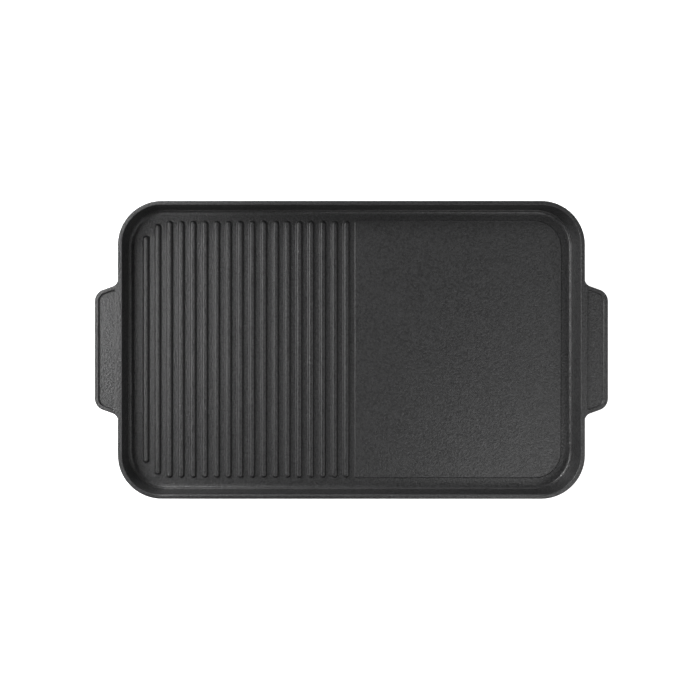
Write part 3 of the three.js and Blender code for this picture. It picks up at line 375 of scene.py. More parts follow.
class Nodes:
    """Small helper for building a material's node tree."""

    def __init__(self, name):
        self.material = bpy.data.materials.new(name)
        self.material.use_nodes = True
        self.tree = self.material.node_tree
        self.shader = self.tree.nodes["Principled BSDF"]
        self.place = self.tree.nodes.new("ShaderNodeTexCoord").outputs["Object"]

    def add(self, kind, **settings):
        node = self.tree.nodes.new(kind)
        for key, value in settings.items():
            setattr(node, key, value)
        return node

    def link(self, output, target):
        self.tree.links.new(output, target)

    def noise(self, scale, detail=2.0, rough=0.5, stretch=None):
        node = self.add("ShaderNodeTexNoise")
        node.inputs["Scale"].default_value = scale
        node.inputs["Detail"].default_value = detail
        node.inputs["Roughness"].default_value = rough
        source = self.place
        if stretch:
            mapping = self.add("ShaderNodeMapping")
            mapping.inputs["Scale"].default_value = stretch
            self.link(self.place, mapping.inputs["Vector"])
            source = mapping.outputs["Vector"]
        self.link(source, node.inputs["Vector"])
        return node.outputs["Fac"]

    def ranged(self, value, low_in, high_in, low_out=0.0, high_out=1.0):
        node = self.add("ShaderNodeMapRange")
        self.link(value, node.inputs["Value"])
        numbers = (low_in, high_in, low_out, high_out)
        for key, number in zip(("From Min", "From Max", "To Min", "To Max"), numbers):
            node.inputs[key].default_value = number
        return node.outputs["Result"]

    def math(self, operation, first, second):
        node = self.add("ShaderNodeMath", operation=operation)
        for socket, value in zip(node.inputs, (first, second)):
            if isinstance(value, (int, float)):
                socket.default_value = value
            else:
                self.link(value, socket)
        return node.outputs[0]

    def mix(self, factor, first, second):
        node = self.add("ShaderNodeMix", data_type="RGBA")
        self.link(factor, node.inputs["Factor"])
        for key, colour in (("A", first), ("B", second)):
            socket = [s for s in node.inputs if s.name == key and s.type == "RGBA"][0]
            if isinstance(colour, tuple):
                socket.default_value = (*colour, 1.0)
            else:
                self.link(colour, socket)
        return [s for s in node.outputs if s.type == "RGBA"][0]

    def bump(self, height, strength, distance, under=None):
        node = self.add("ShaderNodeBump")
        node.inputs["Strength"].default_value = strength
        node.inputs["Distance"].default_value = distance
        self.link(height, node.inputs["Height"])
        if under:
            self.link(under, node.inputs["Normal"])
        return node.outputs["Normal"]

    def edges(self, low_in=0.52, high_in=0.62):
        """0 on flats, 1 on convex edges."""
        pointiness = self.add("ShaderNodeNewGeometry").outputs["Pointiness"]
        return self.ranged(pointiness, low_in, high_in)

    def finish(self, tone, rough, normal):
        """Joins colour, roughness and bump to the shader, and gives the material."""
        for key, value in (("Base Color", tone), ("Roughness", rough), ("Normal", normal)):
            self.link(value, self.shader.inputs[key])
        return self.material


def shade(colour, factor):
    return tuple(channel * factor for channel in colour)


def coated_material():
    """Granular dark non-stick coating: fine speckle, slightly glossier on convex edges, where a painted
    highlight also makes the colour paler, on rib crests too.
    """
    n = Nodes("plate_coating")
    grain = n.noise(900.0, 2.0, 0.6)
    mottle = n.noise(480.0, 2.0, 0.6)
    blotch = n.noise(22.0, 3.0)
    fleck = n.noise(2300.0, 1.0)
    base = (0.022, 0.022, 0.0224)
    tone = n.mix(n.ranged(mottle, 0.36, 0.66), shade(base, 0.45), shade(base, 1.7))
    tone = n.mix(n.ranged(fleck, 0.60, 0.72, 0.0, 0.8), tone, shade(base, 4.0))
    tone = n.mix(n.ranged(blotch, 0.35, 0.7, 0.0, 0.22), tone, shade(base, 1.5))
    # painted highlight: convex edges and rib crests get a paler colour
    tone = n.mix(n.math("MULTIPLY", n.edges(), 0.8), tone, shade(base, 3.6))
    rough = n.ranged(mottle, 0.3, 0.7, 0.37, 0.27)
    rough = n.math("SUBTRACT", rough, n.math("MULTIPLY", n.edges(), 0.05))
    n.shader.inputs["Specular IOR Level"].default_value = 0.5
    fine = n.bump(grain, 0.8, 0.22 * mm)
    return n.finish(tone, rough, n.bump(mottle, 1.0, 0.42 * mm, fine))


def plastic_material(name, colour, roughness=0.42, grain_scale=1500.0, bump=0.22):
    """Moulded plastic: spark-eroded grain, faint clouding, a paler colour on convex edges."""
    n = Nodes(name)
    grain = n.noise(grain_scale, 3.0, 0.65)
    cloud = n.noise(14.0, 4.0)
    tone = n.mix(n.ranged(cloud, 0.3, 0.7), shade(colour, 0.85), shade(colour, 1.2))
    tone = n.mix(n.math("MULTIPLY", n.edges(), 0.4), tone, shade(colour, 1.9))
    rough = n.ranged(grain, 0.3, 0.7, roughness + 0.07, roughness - 0.05)
    return n.finish(tone, rough, n.bump(grain, bump, 0.05 * mm))


def metal_material(name, colour, roughness=0.32, stretch=(1.0, 1.0, 1.0), scale=900.0, bump=0.08):
    """Bare metal: directional fine marks, dull clouding and a brighter colour on convex edges."""
    n = Nodes(name)
    marks = n.noise(scale, 3.0, 0.6, stretch)
    cloud = n.noise(30.0, 4.0)
    tone = n.mix(n.ranged(cloud, 0.3, 0.7), shade(colour, 0.78), shade(colour, 1.05))
    tone = n.mix(n.math("MULTIPLY", n.edges(), 0.5), tone, shade(colour, 1.25))
    n.shader.inputs["Metallic"].default_value = 1.0
    uneven = n.ranged(cloud, 0.3, 0.7, roughness, roughness + 0.1)
    rough = n.math("ADD", n.ranged(marks, 0.3, 0.7, -0.06, 0.08), uneven)
    return n.finish(tone, rough, n.bump(marks, bump, 0.05 * mm))


def sheath_material():
    """Oxidised heater sheath: dark nickel alloy, heat-tinted brown and straw in patches."""
    n = Nodes("element_sheath")
    patch = n.noise(28.0, 4.0)
    fine = n.noise(900.0, 3.0)
    tone = n.mix(n.ranged(patch, 0.35, 0.65), (0.060, 0.058, 0.055), (0.125, 0.100, 0.078))
    tone = n.mix(n.ranged(fine, 0.55, 0.75, 0.0, 0.5), tone, (0.19, 0.18, 0.17))
    n.shader.inputs["Metallic"].default_value = 0.85
    rough = n.ranged(patch, 0.3, 0.7, 0.42, 0.62)
    return n.finish(tone, rough, n.bump(fine, 0.2, 0.06 * mm))


def soft_material(name, colour, roughness=0.75, scale=700.0, bump=0.3):
    """Rubber or ceramic: matt, finely pitted, dusty in patches."""
    n = Nodes(name)
    pits = n.noise(scale, 3.0, 0.6)
    dust = n.noise(35.0, 4.0)
    tone = n.mix(n.ranged(dust, 0.35, 0.7), shade(colour, 0.85), shade(colour, 1.25))
    rough = n.ranged(pits, 0.3, 0.7, roughness + 0.06, roughness - 0.08)
    return n.finish(tone, rough, n.bump(pits, bump, 0.06 * mm))


def sleeve_material(name, colour):
    """Braided glass-fibre sleeve: a fine crossed weave."""
    n = Nodes(name)
    waves = []
    for direction in ("X", "Z"):
        wave = n.add("ShaderNodeTexWave", bands_direction=direction)
        wave.inputs["Scale"].default_value = 620.0
        wave.inputs["Distortion"].default_value = 1.5
        n.link(n.place, wave.inputs["Vector"])
        waves.append(wave.outputs["Fac"])
    weave = n.math("MAXIMUM", *waves)
    tone = n.mix(weave, shade(colour, 0.7), shade(colour, 1.1))
    rough = n.ranged(weave, 0.0, 1.0, 0.85, 0.65)
    return n.finish(tone, rough, n.bump(weave, 0.4, 0.08 * mm))


def lens_material():
    """Clear red lens, faintly clouded and partly transmissive, under a thin coat."""
    n = Nodes("lens_red")
    cloud = n.noise(260.0, 3.0)
    tone = n.mix(n.ranged(cloud, 0.3, 0.7), (0.42, 0.012, 0.008), (0.60, 0.03, 0.015))
    rough = n.ranged(cloud, 0.3, 0.7, 0.08, 0.16)
    n.shader.inputs["Transmission Weight"].default_value = 0.35
    n.shader.inputs["Coat Weight"].default_value = 0.4
    return n.finish(tone, rough, n.bump(cloud, 0.05, 0.05 * mm))


COATING = coated_material()
HOUSING = plastic_material("housing_plastic", (0.018, 0.018, 0.019), 0.46)
KNOB = plastic_material("knob_plastic", (0.014, 0.014, 0.015), 0.34, 1800.0, 0.12)
INLET_PLASTIC = plastic_material("inlet_plastic", (0.013, 0.013, 0.014), 0.32, 1800.0, 0.1)
PANEL = plastic_material("panel_print", (0.030, 0.031, 0.034), 0.38, 2200.0, 0.08)
MARKS = plastic_material("panel_marks", (0.62, 0.62, 0.60), 0.5, 1200.0, 0.05)
PAN = metal_material("pan_sheet", (0.60, 0.61, 0.62), 0.36, (1.0, 0.3, 1.0), 500.0, 0.03)
BRACKET = metal_material("bracket_sheet", (0.50, 0.51, 0.52), 0.38, (1.0, 0.08, 1.0))
COVER = metal_material("cover_sheet", (0.46, 0.47, 0.48), 0.42, (0.08, 1.0, 1.0))
NICKEL = metal_material("screw_nickel", (0.66, 0.65, 0.62), 0.26)
SENSOR = metal_material("sensor_aluminium", (0.72, 0.73, 0.74), 0.30, (1.0, 1.0, 6.0))
STEEL = metal_material("shaft_steel", (0.56, 0.57, 0.58), 0.3)
COPPER = metal_material("capillary_copper", (0.70, 0.38, 0.22), 0.34)
SHEATH = sheath_material()
RUBBER = soft_material("foot_rubber", (0.016, 0.016, 0.016), 0.78)
SILICONE = soft_material("pad_silicone", (0.16, 0.16, 0.155), 0.66)
CERAMIC = soft_material("seal_ceramic", (0.70, 0.67, 0.60), 0.6, 900.0, 0.2)
LENS = lens_material()
SLEEVE = sleeve_material("wire_white", (0.52, 0.51, 0.47))
FUSE = soft_material("fuse_body", (0.62, 0.54, 0.34), 0.6)
LAMP = soft_material("lamp_glass", (0.85, 0.55, 0.35), 0.15, 500.0, 0.03)
WIRE_BROWN = soft_material("wire_brown", (0.14, 0.055, 0.028), 0.5)
WIRE_BLUE = soft_material("wire_blue", (0.03, 0.10, 0.34), 0.5)
WIRE_GREEN = soft_material("wire_green", (0.10, 0.30, 0.05), 0.5)


# --- cooking plate

OUTER_DRAFT = 2.6 * mm
RIM_WIDTH = 4.4 * mm
LEDGE_INSET = 6.3 * mm
LEDGE_WIDTH = 0.8 * mm
LEDGE_HEIGHT = 2.6 * mm
FOOT_RUN = 4.2 * mm
FIELD_INSET = 17 * mm
EAR_ROOT = 65.6 * mm
EAR_TIP = 57.2 * mm
EAR_ROOT_FILLET = 8.5 * mm
EAR_TIP_CORNER = 12.5 * mm
EAR_THICKNESS = 8 * mm
EAR_BORDER = 3.9 * mm
EAR_RECESS_DEPTH = 2 * mm
EAR_RECESS_START = 1.7 * mm
EAR_STEP = 0.02 * mm  # the ear lies this far below the rim
EAR_ROOT_OVERLAP = 0.4 * mm
EAR_BURIED = 3.6 * mm  # and its root reaches this far into the wall
RIB_PITCH = 12.1 * mm
RIB_WIDTH = 7.0 * mm
RIB_HEIGHT = 3 * mm
RIB_FIRST = 4.0 * mm
RIB_FIELD_CORNER = 32 * mm
PLATEAU_START = 4.6 * mm
PLATEAU_HEIGHT = 1 * mm


def plate_outline(inset):
    return rectangle(HALF_X - inset, HALF_Y - inset, PLATE_CORNER - inset)


def plate_profile():
    """(inset, z) pairs from under the floor, out and over the rim, and down to the floor."""
    rim_edge = 1.0 * mm
    inner_edge = 0.8 * mm
    heel = 2.0 * mm
    edge = 0.4 * mm
    hair = 0.05 * mm
    wall_top = RIM_Z - rim_edge
    ledge_z = FLOOR_Z + LEDGE_HEIGHT
    ledge_end = LEDGE_INSET + LEDGE_WIDTH
    pairs = [(OUTER_DRAFT + heel + 6 * mm, UNDER_Z)]
    pairs += inset_arc(OUTER_DRAFT + heel, UNDER_Z + heel, heel, -90, 0)
    pairs += [(0.25 * mm, wall_top - 2 * mm)]
    pairs += inset_arc(rim_edge, wall_top, rim_edge, 0, 90)
    pairs += inset_arc(RIM_WIDTH - inner_edge, RIM_Z - inner_edge, inner_edge, 90, 180)
    pairs += [(LEDGE_INSET - hair, ledge_z + 0.4 * mm), (LEDGE_INSET + hair, ledge_z + 0.12 * mm)]
    pairs += inset_arc(ledge_end - edge, ledge_z - edge, edge, 90, 180, 3)
    for a in quarter(8):
        inset = ledge_end + hair + FOOT_RUN * (1 - math.cos(a))
        pairs.append((inset, FLOOR_Z + (LEDGE_HEIGHT - 2 * edge) * (1 - math.sin(a))))
    return pairs


def ear_outline():
    """The ear's free edge. The first and last points only give the direction it ends in."""
    root_x = HALF_X - EAR_ROOT_OVERLAP
    tip_x = HALF_X + EAR_REACH
    return filleted(
        [
            (root_x, -EAR_ROOT - 2 * EAR_REACH, 0),
            (root_x, -EAR_ROOT, EAR_ROOT_FILLET),
            (tip_x, -EAR_TIP, EAR_TIP_CORNER),
            (tip_x, EAR_TIP, EAR_TIP_CORNER),
            (root_x, EAR_ROOT, EAR_ROOT_FILLET),
            (root_x, EAR_ROOT + 2 * EAR_REACH, 0),
        ]
    )


def ear_ring(inset, z):
    edge = shrunk(ear_outline(), inset)[1:-1]
    buried = HALF_X - EAR_BURIED
    return flat_ring([Vector((buried, edge[0].y)), *edge, Vector((buried, edge[-1].y))], z)


def ear_recess_outline():
    slope = (EAR_ROOT - EAR_TIP) / EAR_REACH
    border = EAR_BORDER * math.hypot(1, slope)
    reach = EAR_REACH - EAR_BORDER
    corner = EAR_TIP_CORNER - EAR_BORDER
    inner_corner = 2.2 * mm
    inner_y = EAR_ROOT - border - slope * EAR_RECESS_START
    outer_y = EAR_ROOT - border - slope * reach
    return filleted(
        [
            (HALF_X + EAR_RECESS_START, -inner_y, inner_corner),
            (HALF_X + reach, -outer_y, corner),
            (HALF_X + reach, outer_y, corner),
            (HALF_X + EAR_RECESS_START, inner_y, inner_corner),
        ],
        12,
    )


def half_turned(piece):
    return remapped(piece, lambda v: Vector((-v.x, -v.y, v.z)))


def ear_solid(name):
    edge = 1.0 * mm
    heel = 1.6 * mm
    pairs = inset_arc(heel, RIM_Z - EAR_THICKNESS + heel, heel, -90, 0)
    pairs += inset_arc(edge, RIM_Z - EAR_STEP - edge, edge, 0, 90)
    return loft(name, [ear_ring(inset, z) for inset, z in pairs])


def ear_recess(name):
    """Cutter with a filleted floor and a rounded lip."""
    floor_edge = 1.1 * mm
    lip = 0.5 * mm
    pairs = inset_arc(floor_edge, RIM_Z - EAR_RECESS_DEPTH + floor_edge, floor_edge, -90, 0)
    pairs += [(-lip * (1 - math.cos(a)), RIM_Z - lip + lip * math.sin(a)) for a in quarter(4)]
    pairs += [(-lip, RIM_Z + 1 * mm)]
    return stacked(name, ear_recess_outline(), pairs)


def rib_half_length(x):
    """Ribs next to the side wall are shortened to follow the rounded corner of the rib field."""
    reach = abs(x) - (HALF_X - FIELD_INSET - RIB_FIELD_CORNER)
    if reach <= 0:
        return HALF_Y - FIELD_INSET
    corner_y = HALF_Y - FIELD_INSET - RIB_FIELD_CORNER
    inner = RIB_FIELD_CORNER - RIB_WIDTH / 2
    return corner_y + math.sqrt(inner * inner - reach * reach) + RIB_WIDTH / 2


def rib(x):
    """One rib: a flared foot, steep flanks and a narrow, slightly crowned crest."""
    half_width = RIB_WIDTH / 2
    slope = math.radians(64)
    crown = math.radians(3)
    foot = 0.8 * mm
    crest = 1.6 * mm
    flat = 0.85 * mm
    reach = foot * math.tan(slope / 2)
    section = [(half_width + reach + 0.1 * mm, -0.3 * mm)]
    for a in parts(0, slope, 5):
        section.append((half_width + reach - foot * math.sin(a), foot * (1 - math.cos(a))))
    for a in parts(slope, crown, 7):
        section.append((flat + crest * math.sin(a), RIB_HEIGHT - crest * (1 - math.cos(a))))
    half_length = rib_half_length(x)
    rings = []
    for width, up in section:
        length = half_length - half_width + width
        rings.append(flat_ring(stadium(length, width), FLOOR_Z + up))
    return shifted(loft("rib", rings), x)


def rib_positions():
    room = HALF_X - FIELD_INSET - RIB_FIRST - RIB_WIDTH / 2
    count = int(room / RIB_PITCH) + 1
    return [-RIB_FIRST - index * RIB_PITCH for index in range(count)]


def plateau():
    corner = PLATE_CORNER - FIELD_INSET
    near_corner = 2.4 * mm

    def outline(draft):
        far_x = HALF_X - FIELD_INSET - draft
        far_y = HALF_Y - FIELD_INSET - draft
        near_x = PLATEAU_START + draft
        return filleted(
            [
                (far_x, far_y, corner - draft),
                (near_x, far_y, near_corner),
                (near_x, -far_y, near_corner),
                (far_x, -far_y, corner - draft),
            ]
        )

    # how far in, in mm, and how high, as a share of the plateau's height
    section = [(-0.5, -0.3), (-0.35, 0.0), (-0.15, 0.08), (0.0, 0.25)]
    section += [(0.25, 0.7), (0.45, 0.9), (0.8, 1.0)]
    rings = [flat_ring(outline(inward * mm), FLOOR_Z + PLATEAU_HEIGHT * up) for inward, up in section]
    return loft("plateau", rings)


def skirt():
    """Rib under the plate that drops into the mouth of the base."""
    inset = 10.5 * mm
    thick = 3.5 * mm
    edge = 1 * mm
    buried_z = UNDER_Z + 1 * mm
    pairs = [(0, buried_z)]
    pairs += inset_arc(edge, SKIRT_LOW_Z + edge, edge, 0, -90)
    pairs += inset_arc(thick - edge, SKIRT_LOW_Z + edge, edge, -90, -180)
    pairs += [(thick, buried_z)]
    return loft("skirt", [flat_ring(plate_outline(inset + i), z) for i, z in pairs], closed=True)


def make_plate():
    shell = loft("plate_casting", [flat_ring(plate_outline(i), z) for i, z in plate_profile()])
    joined(shell, ear_solid("ear"), half_turned(ear_solid("ear")))
    cut(shell, gathered([ear_recess("recess"), half_turned(ear_recess("recess"))]))
    joined(shell, gathered([plateau(), *[rib(x) for x in rib_positions()]]))
    joined(shell, skirt())
    finished(shell, "plate", "plate_coating", COATING, "griddle_plate", sharp=50.0)


make_plate()

# --- shared small shapes


def rounded_block(name, outline, low_z, high_z, edge, steps=4):
    """Upright block with round top and bottom edges."""
    pairs = inset_arc(edge, low_z + edge, edge, -90, 0, steps)
    pairs += inset_arc(edge, high_z - edge, edge, 0, 90, steps)
    return stacked(name, outline, pairs)


def tube(name, inner, outer, bottom, top, steps):
    """Plain ring of rectangular section, or a disc where the inner radius is 0."""
    return turned(name, [(inner, bottom), (outer, bottom), (outer, top), (inner, top)], steps)


def drill(radius, x, y=0.0, z=0.0, steps=24):
    """Cutter for a round hole through a sheet."""
    return shifted(tube("hole", 0, radius, -DRILL_REACH, DRILL_REACH, steps), x, y, z)


def screw(name, place, rule, shank):
    """Slotted pan-head screw: the head stands up from the place given, along the rule's axis."""
    radius = 2.75 * mm
    height = 1.75 * mm
    stem = 1.45 * mm
    brim = 0.55 * mm
    ease = 0.15 * mm
    profile = [(0, -shank), (stem, -shank), (stem, 0), (radius - ease, 0)]
    profile += [(radius, ease), (radius, brim)]
    for a in quarter(8)[1:-1]:
        profile.append((radius * math.cos(a), brim + (height - brim) * math.sin(a)))
    head = turned(name, profile + [(0, height)], 36)
    slot_outline = rectangle(2 * radius, 0.4 * mm, 0.1 * mm, 2)
    cut(head, rounded_block("slot", slot_outline, 0.85 * mm, 3 * mm, 0.05 * mm))
    return shifted(remapped(head, rule), *place)


def upright(v):
    return v


def upside_down(v):
    return Vector((v.x, -v.y, -v.z))


DRILL_REACH = 10 * mm
SCREW_HEAD = 1.8 * mm

# --- base housing

HOUSING_TOP_Z = high("base_housing").z
HOUSING_LOW_Z = low("base_housing").z
HOUSING_INSET = HALF_X - high("base_housing").x
HOUSING_TAPER = 6 * mm
HOUSING_WALL = 3 * mm
PANEL_MARGIN = 1 * mm
RECESS_WALL = 2.5 * mm
RECESS_CORNER = 8 * mm
RECESS_HALF_Z = (high("control_panel").z - low("control_panel").z) / 2 + PANEL_MARGIN
INLET_FLOOR_Y = high("mains_inlet").y - 2.8 * mm
SHELF_THICKNESS = 2.4 * mm
SHELF_TOP_Z = low("plate_pad_front_left").z + 0.3 * mm + SHELF_THICKNESS
PAN_HALF_X = high("reflector_pan").x
PAN_HALF_Y = high("reflector_pan").y
PAN_FLANGE = 9.5 * mm
SHELF_HOLE_X = PAN_HALF_X - PAN_FLANGE
SHELF_HOLE_Y = PAN_HALF_Y - PAN_FLANGE
SHELF_HOLE_CORNER = 26.5 * mm


class Recess:
    """Recess in the front (side -1) or back (side 1) wall, with a flat upright floor."""

    def __init__(self, side, middle, half_x, half_z, corner, floor_y):
        self.side = side
        self.middle = middle
        self.size = (half_x, half_z, corner)
        self.floor = abs(floor_y)
        self.depth = HALF_Y - housing_inset(middle.z) - self.floor

    def outline(self, outset=0.0):
        half_x, half_z, corner = self.size
        return rectangle(half_x + outset, half_z + outset, corner + outset, 10)

    def ring(self, outline, share):
        """Outline at a share of the depth: 0 on the floor, 1 on the leaning outer face."""
        points = []
        for point in outline:
            z = self.middle.z + point.y
            face = HALF_Y - housing_inset(z)
            y = self.side * (self.floor + share * (face - self.floor))
            points.append(Vector((self.middle.x + point.x, y, z)))
        return points

    def walls(self):
        outline = self.outline(RECESS_WALL)
        shares = (-RECESS_WALL / self.depth, 1 - HOUSING_WALL * 0.4 / self.depth)
        return loft("recess_walls", [self.ring(outline, share) for share in shares])

    def hollow(self):
        """Cutter with a filleted floor and a softly flared mouth."""
        outline = self.outline()
        fillet = 0.6 * mm
        flare = 1.1 * mm
        rings = []
        for a in quarter(4):
            share = fillet * (1 - math.sin(a)) / self.depth
            rings.append(self.ring(shrunk(outline, fillet * (1 - math.cos(a))), share))
        for a in quarter(6):
            share = 1 - flare * (1 - math.sin(a)) / self.depth
            rings.append(self.ring(shrunk(outline, -flare * (1 - math.cos(a))), share))
        rings.append(self.ring(shrunk(outline, -flare), 1.3))
        return loft("recess_hollow", rings)


def housing_inset(z):
    return HOUSING_INSET + HOUSING_TAPER * (HOUSING_TOP_Z - z) / (HOUSING_TOP_Z - HOUSING_LOW_Z)


def housing_ring(inset, z):
    return flat_ring(plate_outline(housing_inset(z) + inset), z)


def housing_band():
    foot = 0.9 * mm
    shoulder = 1.4 * mm
    lip = 0.7 * mm
    inner = HOUSING_WALL - lip
    pairs = inset_arc(foot, HOUSING_LOW_Z + foot, foot, -90, 0)
    pairs += inset_arc(shoulder, HOUSING_TOP_Z - shoulder, shoulder, 0, 90)
    pairs += inset_arc(inner, HOUSING_TOP_Z - lip, lip, 90, 180)
    pairs += inset_arc(inner, HOUSING_LOW_Z + lip, lip, 180, 270)
    return loft("housing", [housing_ring(i, z) for i, z in pairs], closed=True)


def housing_shelf():
    edge = 0.5 * mm
    bottom = SHELF_TOP_Z - SHELF_THICKNESS
    buried = HOUSING_WALL - 1 * mm
    rings = [housing_ring(buried, bottom), housing_ring(buried, SHELF_TOP_Z)]
    mouth = inset_arc(edge, SHELF_TOP_Z - edge, edge, 90, 0, 4)
    mouth += inset_arc(edge, bottom + edge, edge, 0, -90, 4)
    for out, z in mouth:
        hole = rectangle(SHELF_HOLE_X + out, SHELF_HOLE_Y + out, SHELF_HOLE_CORNER + out)
        rings.append(flat_ring(hole, z))
    return loft("shelf", rings, closed=True)


def make_housing():
    panel = centre("control_panel")
    panel.x = 0.0
    recess_half_x = high("control_panel").x + PANEL_MARGIN
    recess_floor_y = high("control_panel").y + 0.3 * mm
    control = Recess(-1, panel, recess_half_x, RECESS_HALF_Z, RECESS_CORNER, recess_floor_y)
    socket = centre("mains_inlet")
    inlet = Recess(1, socket, 29 * mm, 15 * mm, 4 * mm, INLET_FLOOR_Y)
    housing = joined(housing_band(), control.walls(), inlet.walls(), housing_shelf())
    hole_outline = rectangle(14 * mm, 10.3 * mm, 2 * mm, 6)
    body_hole = rounded_block("body_hole", hole_outline, -8 * mm, 8 * mm, 0.1 * mm)
    shifted(remapped(body_hole, to_back), socket.x, INLET_FLOOR_Y, socket.z)
    cut(housing, control.hollow(), inlet.hollow(), body_hole)
    finished(housing, "base", "housing_plastic", HOUSING, "base_housing", sharp=35.0)


make_housing()

# --- feet and pads


def make_foot(node):
    top = high(node).z
    stem_z = 7.7 * mm
    radius = half(node).x
    edge = 1.2 * mm
    stem = 3 * mm
    dish = 0.35 * mm
    profile = [(0, dish), (radius * 0.45, dish), (radius * 0.5, 0)]
    profile += arc(radius - edge, edge, edge, -90, 0, 6)
    profile += [(radius - 1 * mm, stem_z - 0.4 * mm), (radius - 1.4 * mm, stem_z), (stem, stem_z)]
    profile += [(stem, top - 2.4 * mm), (4.2 * mm, top - 2.3 * mm), (2.6 * mm, top), (0, top)]
    foot = turned(node + "_fine", profile, 48)
    middle = centre(node)
    shifted(foot, middle.x, middle.y)
    finished(foot, "base", "foot_rubber", RUBBER, node)


def make_pad(node):
    middle = centre(node)
    size = half(node)
    outline = rectangle(size.x, size.y, size.y - 0.01 * mm, 8)
    pad = rounded_block(node + "_fine", outline, SHELF_TOP_Z + 0.3 * mm, high(node).z, 0.7 * mm)
    shifted(pad, middle.x, middle.y)
    peg = tube("peg", 0, 1.8 * mm, low(node).z, high(node).z - 1 * mm, 24)
    shifted(peg, middle.x, middle.y)
    finished(joined(pad, peg), "base", "pad_silicone", SILICONE, node)


for place in ("front_left", "front_right", "back_left", "back_right"):
    make_foot("foot_" + place)
    make_pad("plate_pad_" + place)

# --- pan, element and its holders

SHEET = 1 * mm
PAN_TOP_Z = high("reflector_pan").z
PAN_LOW_Z = low("reflector_pan").z
PAN_WALL_X = SHELF_HOLE_X - 2.5 * mm
PAN_WALL_Y = SHELF_HOLE_Y - 2.5 * mm
PAN_CORNER = 24 * mm
PAN_DRAFT = 3 * mm
PAN_FLOOR_Z = PAN_LOW_Z + SHEET
ELEMENT_RADIUS = 3.25 * mm
ELEMENT_BEND = 17 * mm
LEG_BEND = 8 * mm
LEG_X = centre("element_seal_right").x
LEG_Y = centre("element_seal_right").y
SEAL_HOLE = 4.25 * mm
SCREW_HOLE = 1.8 * mm
ELEMENT_X = high("heating_element").x - ELEMENT_RADIUS
ELEMENT_Y = high("heating_element").y - ELEMENT_RADIUS
ELEMENT_Z = high("heating_element").z - ELEMENT_RADIUS
ELEMENT_ROW = ELEMENT_Y / 3
ELEMENT_INNER_X = 62 * mm
SPRING_TURNS = 5
SPRING_WIRE = 0.6 * mm


def pan_ring(outset, z):
    return flat_ring(rectangle(PAN_WALL_X + outset, PAN_WALL_Y + outset, PAN_CORNER + outset), z)


def make_pan():
    heel = 4 * mm
    bend = 2 * mm
    edge = 0.4 * mm
    under = PAN_TOP_Z - SHEET
    reach = PAN_HALF_X - PAN_WALL_X
    outer = bend + SHEET
    inner = heel - SHEET
    pairs = [(-PAN_DRAFT - heel - 6 * mm, PAN_LOW_Z)]
    pairs += arc(-PAN_DRAFT - heel, PAN_LOW_Z + heel, heel, -90, -8, 6)
    pairs += inset_arc(bend, under - bend, bend, 172, 90, 5)
    pairs += arc(reach - edge, under + edge, edge, -90, 0, 3)
    pairs += arc(reach - edge, PAN_TOP_Z - edge, edge, 0, 90, 3)
    pairs += inset_arc(bend, PAN_TOP_Z - outer, outer, 90, 172, 6)
    pairs += arc(-PAN_DRAFT - heel, PAN_FLOOR_Z + inner, inner, -8, -90, 6)
    pairs += [(-PAN_DRAFT - heel - 12 * mm, PAN_FLOOR_Z)]
    pan = loft("pan", [pan_ring(outset, z) for outset, z in pairs])
    corner_screw = centre("pan_screw_4")
    holes = []
    for side in (-1, 1):
        holes.append(drill(SEAL_HOLE, side * LEG_X, LEG_Y, PAN_LOW_Z, 32))
        for side_y in (-1, 1):
            x = side * corner_screw.x
            holes.append(drill(SCREW_HOLE, x, side_y * corner_screw.y, PAN_TOP_Z))
    sensor = centre("sensor_holder")
    holes.append(drill(3 * mm, sensor.x, sensor.y, PAN_LOW_Z))
    cut(pan, gathered(holes))
    finished(pan, "base", "pan_sheet", PAN, "reflector_pan")


def element_half(side):
    """Corners of one half of the tube, from the middle of the front run to its leg."""
    corners = (
        (ELEMENT_X, -ELEMENT_Y),
        (ELEMENT_X, -ELEMENT_ROW),
        (ELEMENT_INNER_X, -ELEMENT_ROW),
        (ELEMENT_INNER_X, ELEMENT_ROW),
        (ELEMENT_X, ELEMENT_ROW),
        (ELEMENT_X, ELEMENT_Y),
        (LEG_X, ELEMENT_Y),
        (LEG_X, LEG_Y + 2 * LEG_BEND),
    )
    return [Vector((side * x, y, ELEMENT_Z)) for x, y in corners]


def make_element():
    path = routed(list(reversed(element_half(-1))) + element_half(1), ELEMENT_BEND, 12)
    for side in (-1, 1):
        x = side * LEG_X
        top = Vector((x, LEG_Y + 2 * LEG_BEND, ELEMENT_Z))
        end = Vector((x, LEG_Y, low("heating_element").z))
        leg = routed([top, Vector((x, LEG_Y, ELEMENT_Z)), end], LEG_BEND, 10)[1:]
        path = list(reversed(leg)) + path if side < 0 else path + leg
    element = sweep("element", path, ELEMENT_RADIUS, 20)
    finished(element, "base", "element_sheath", SHEATH, "heating_element", sharp=50.0)


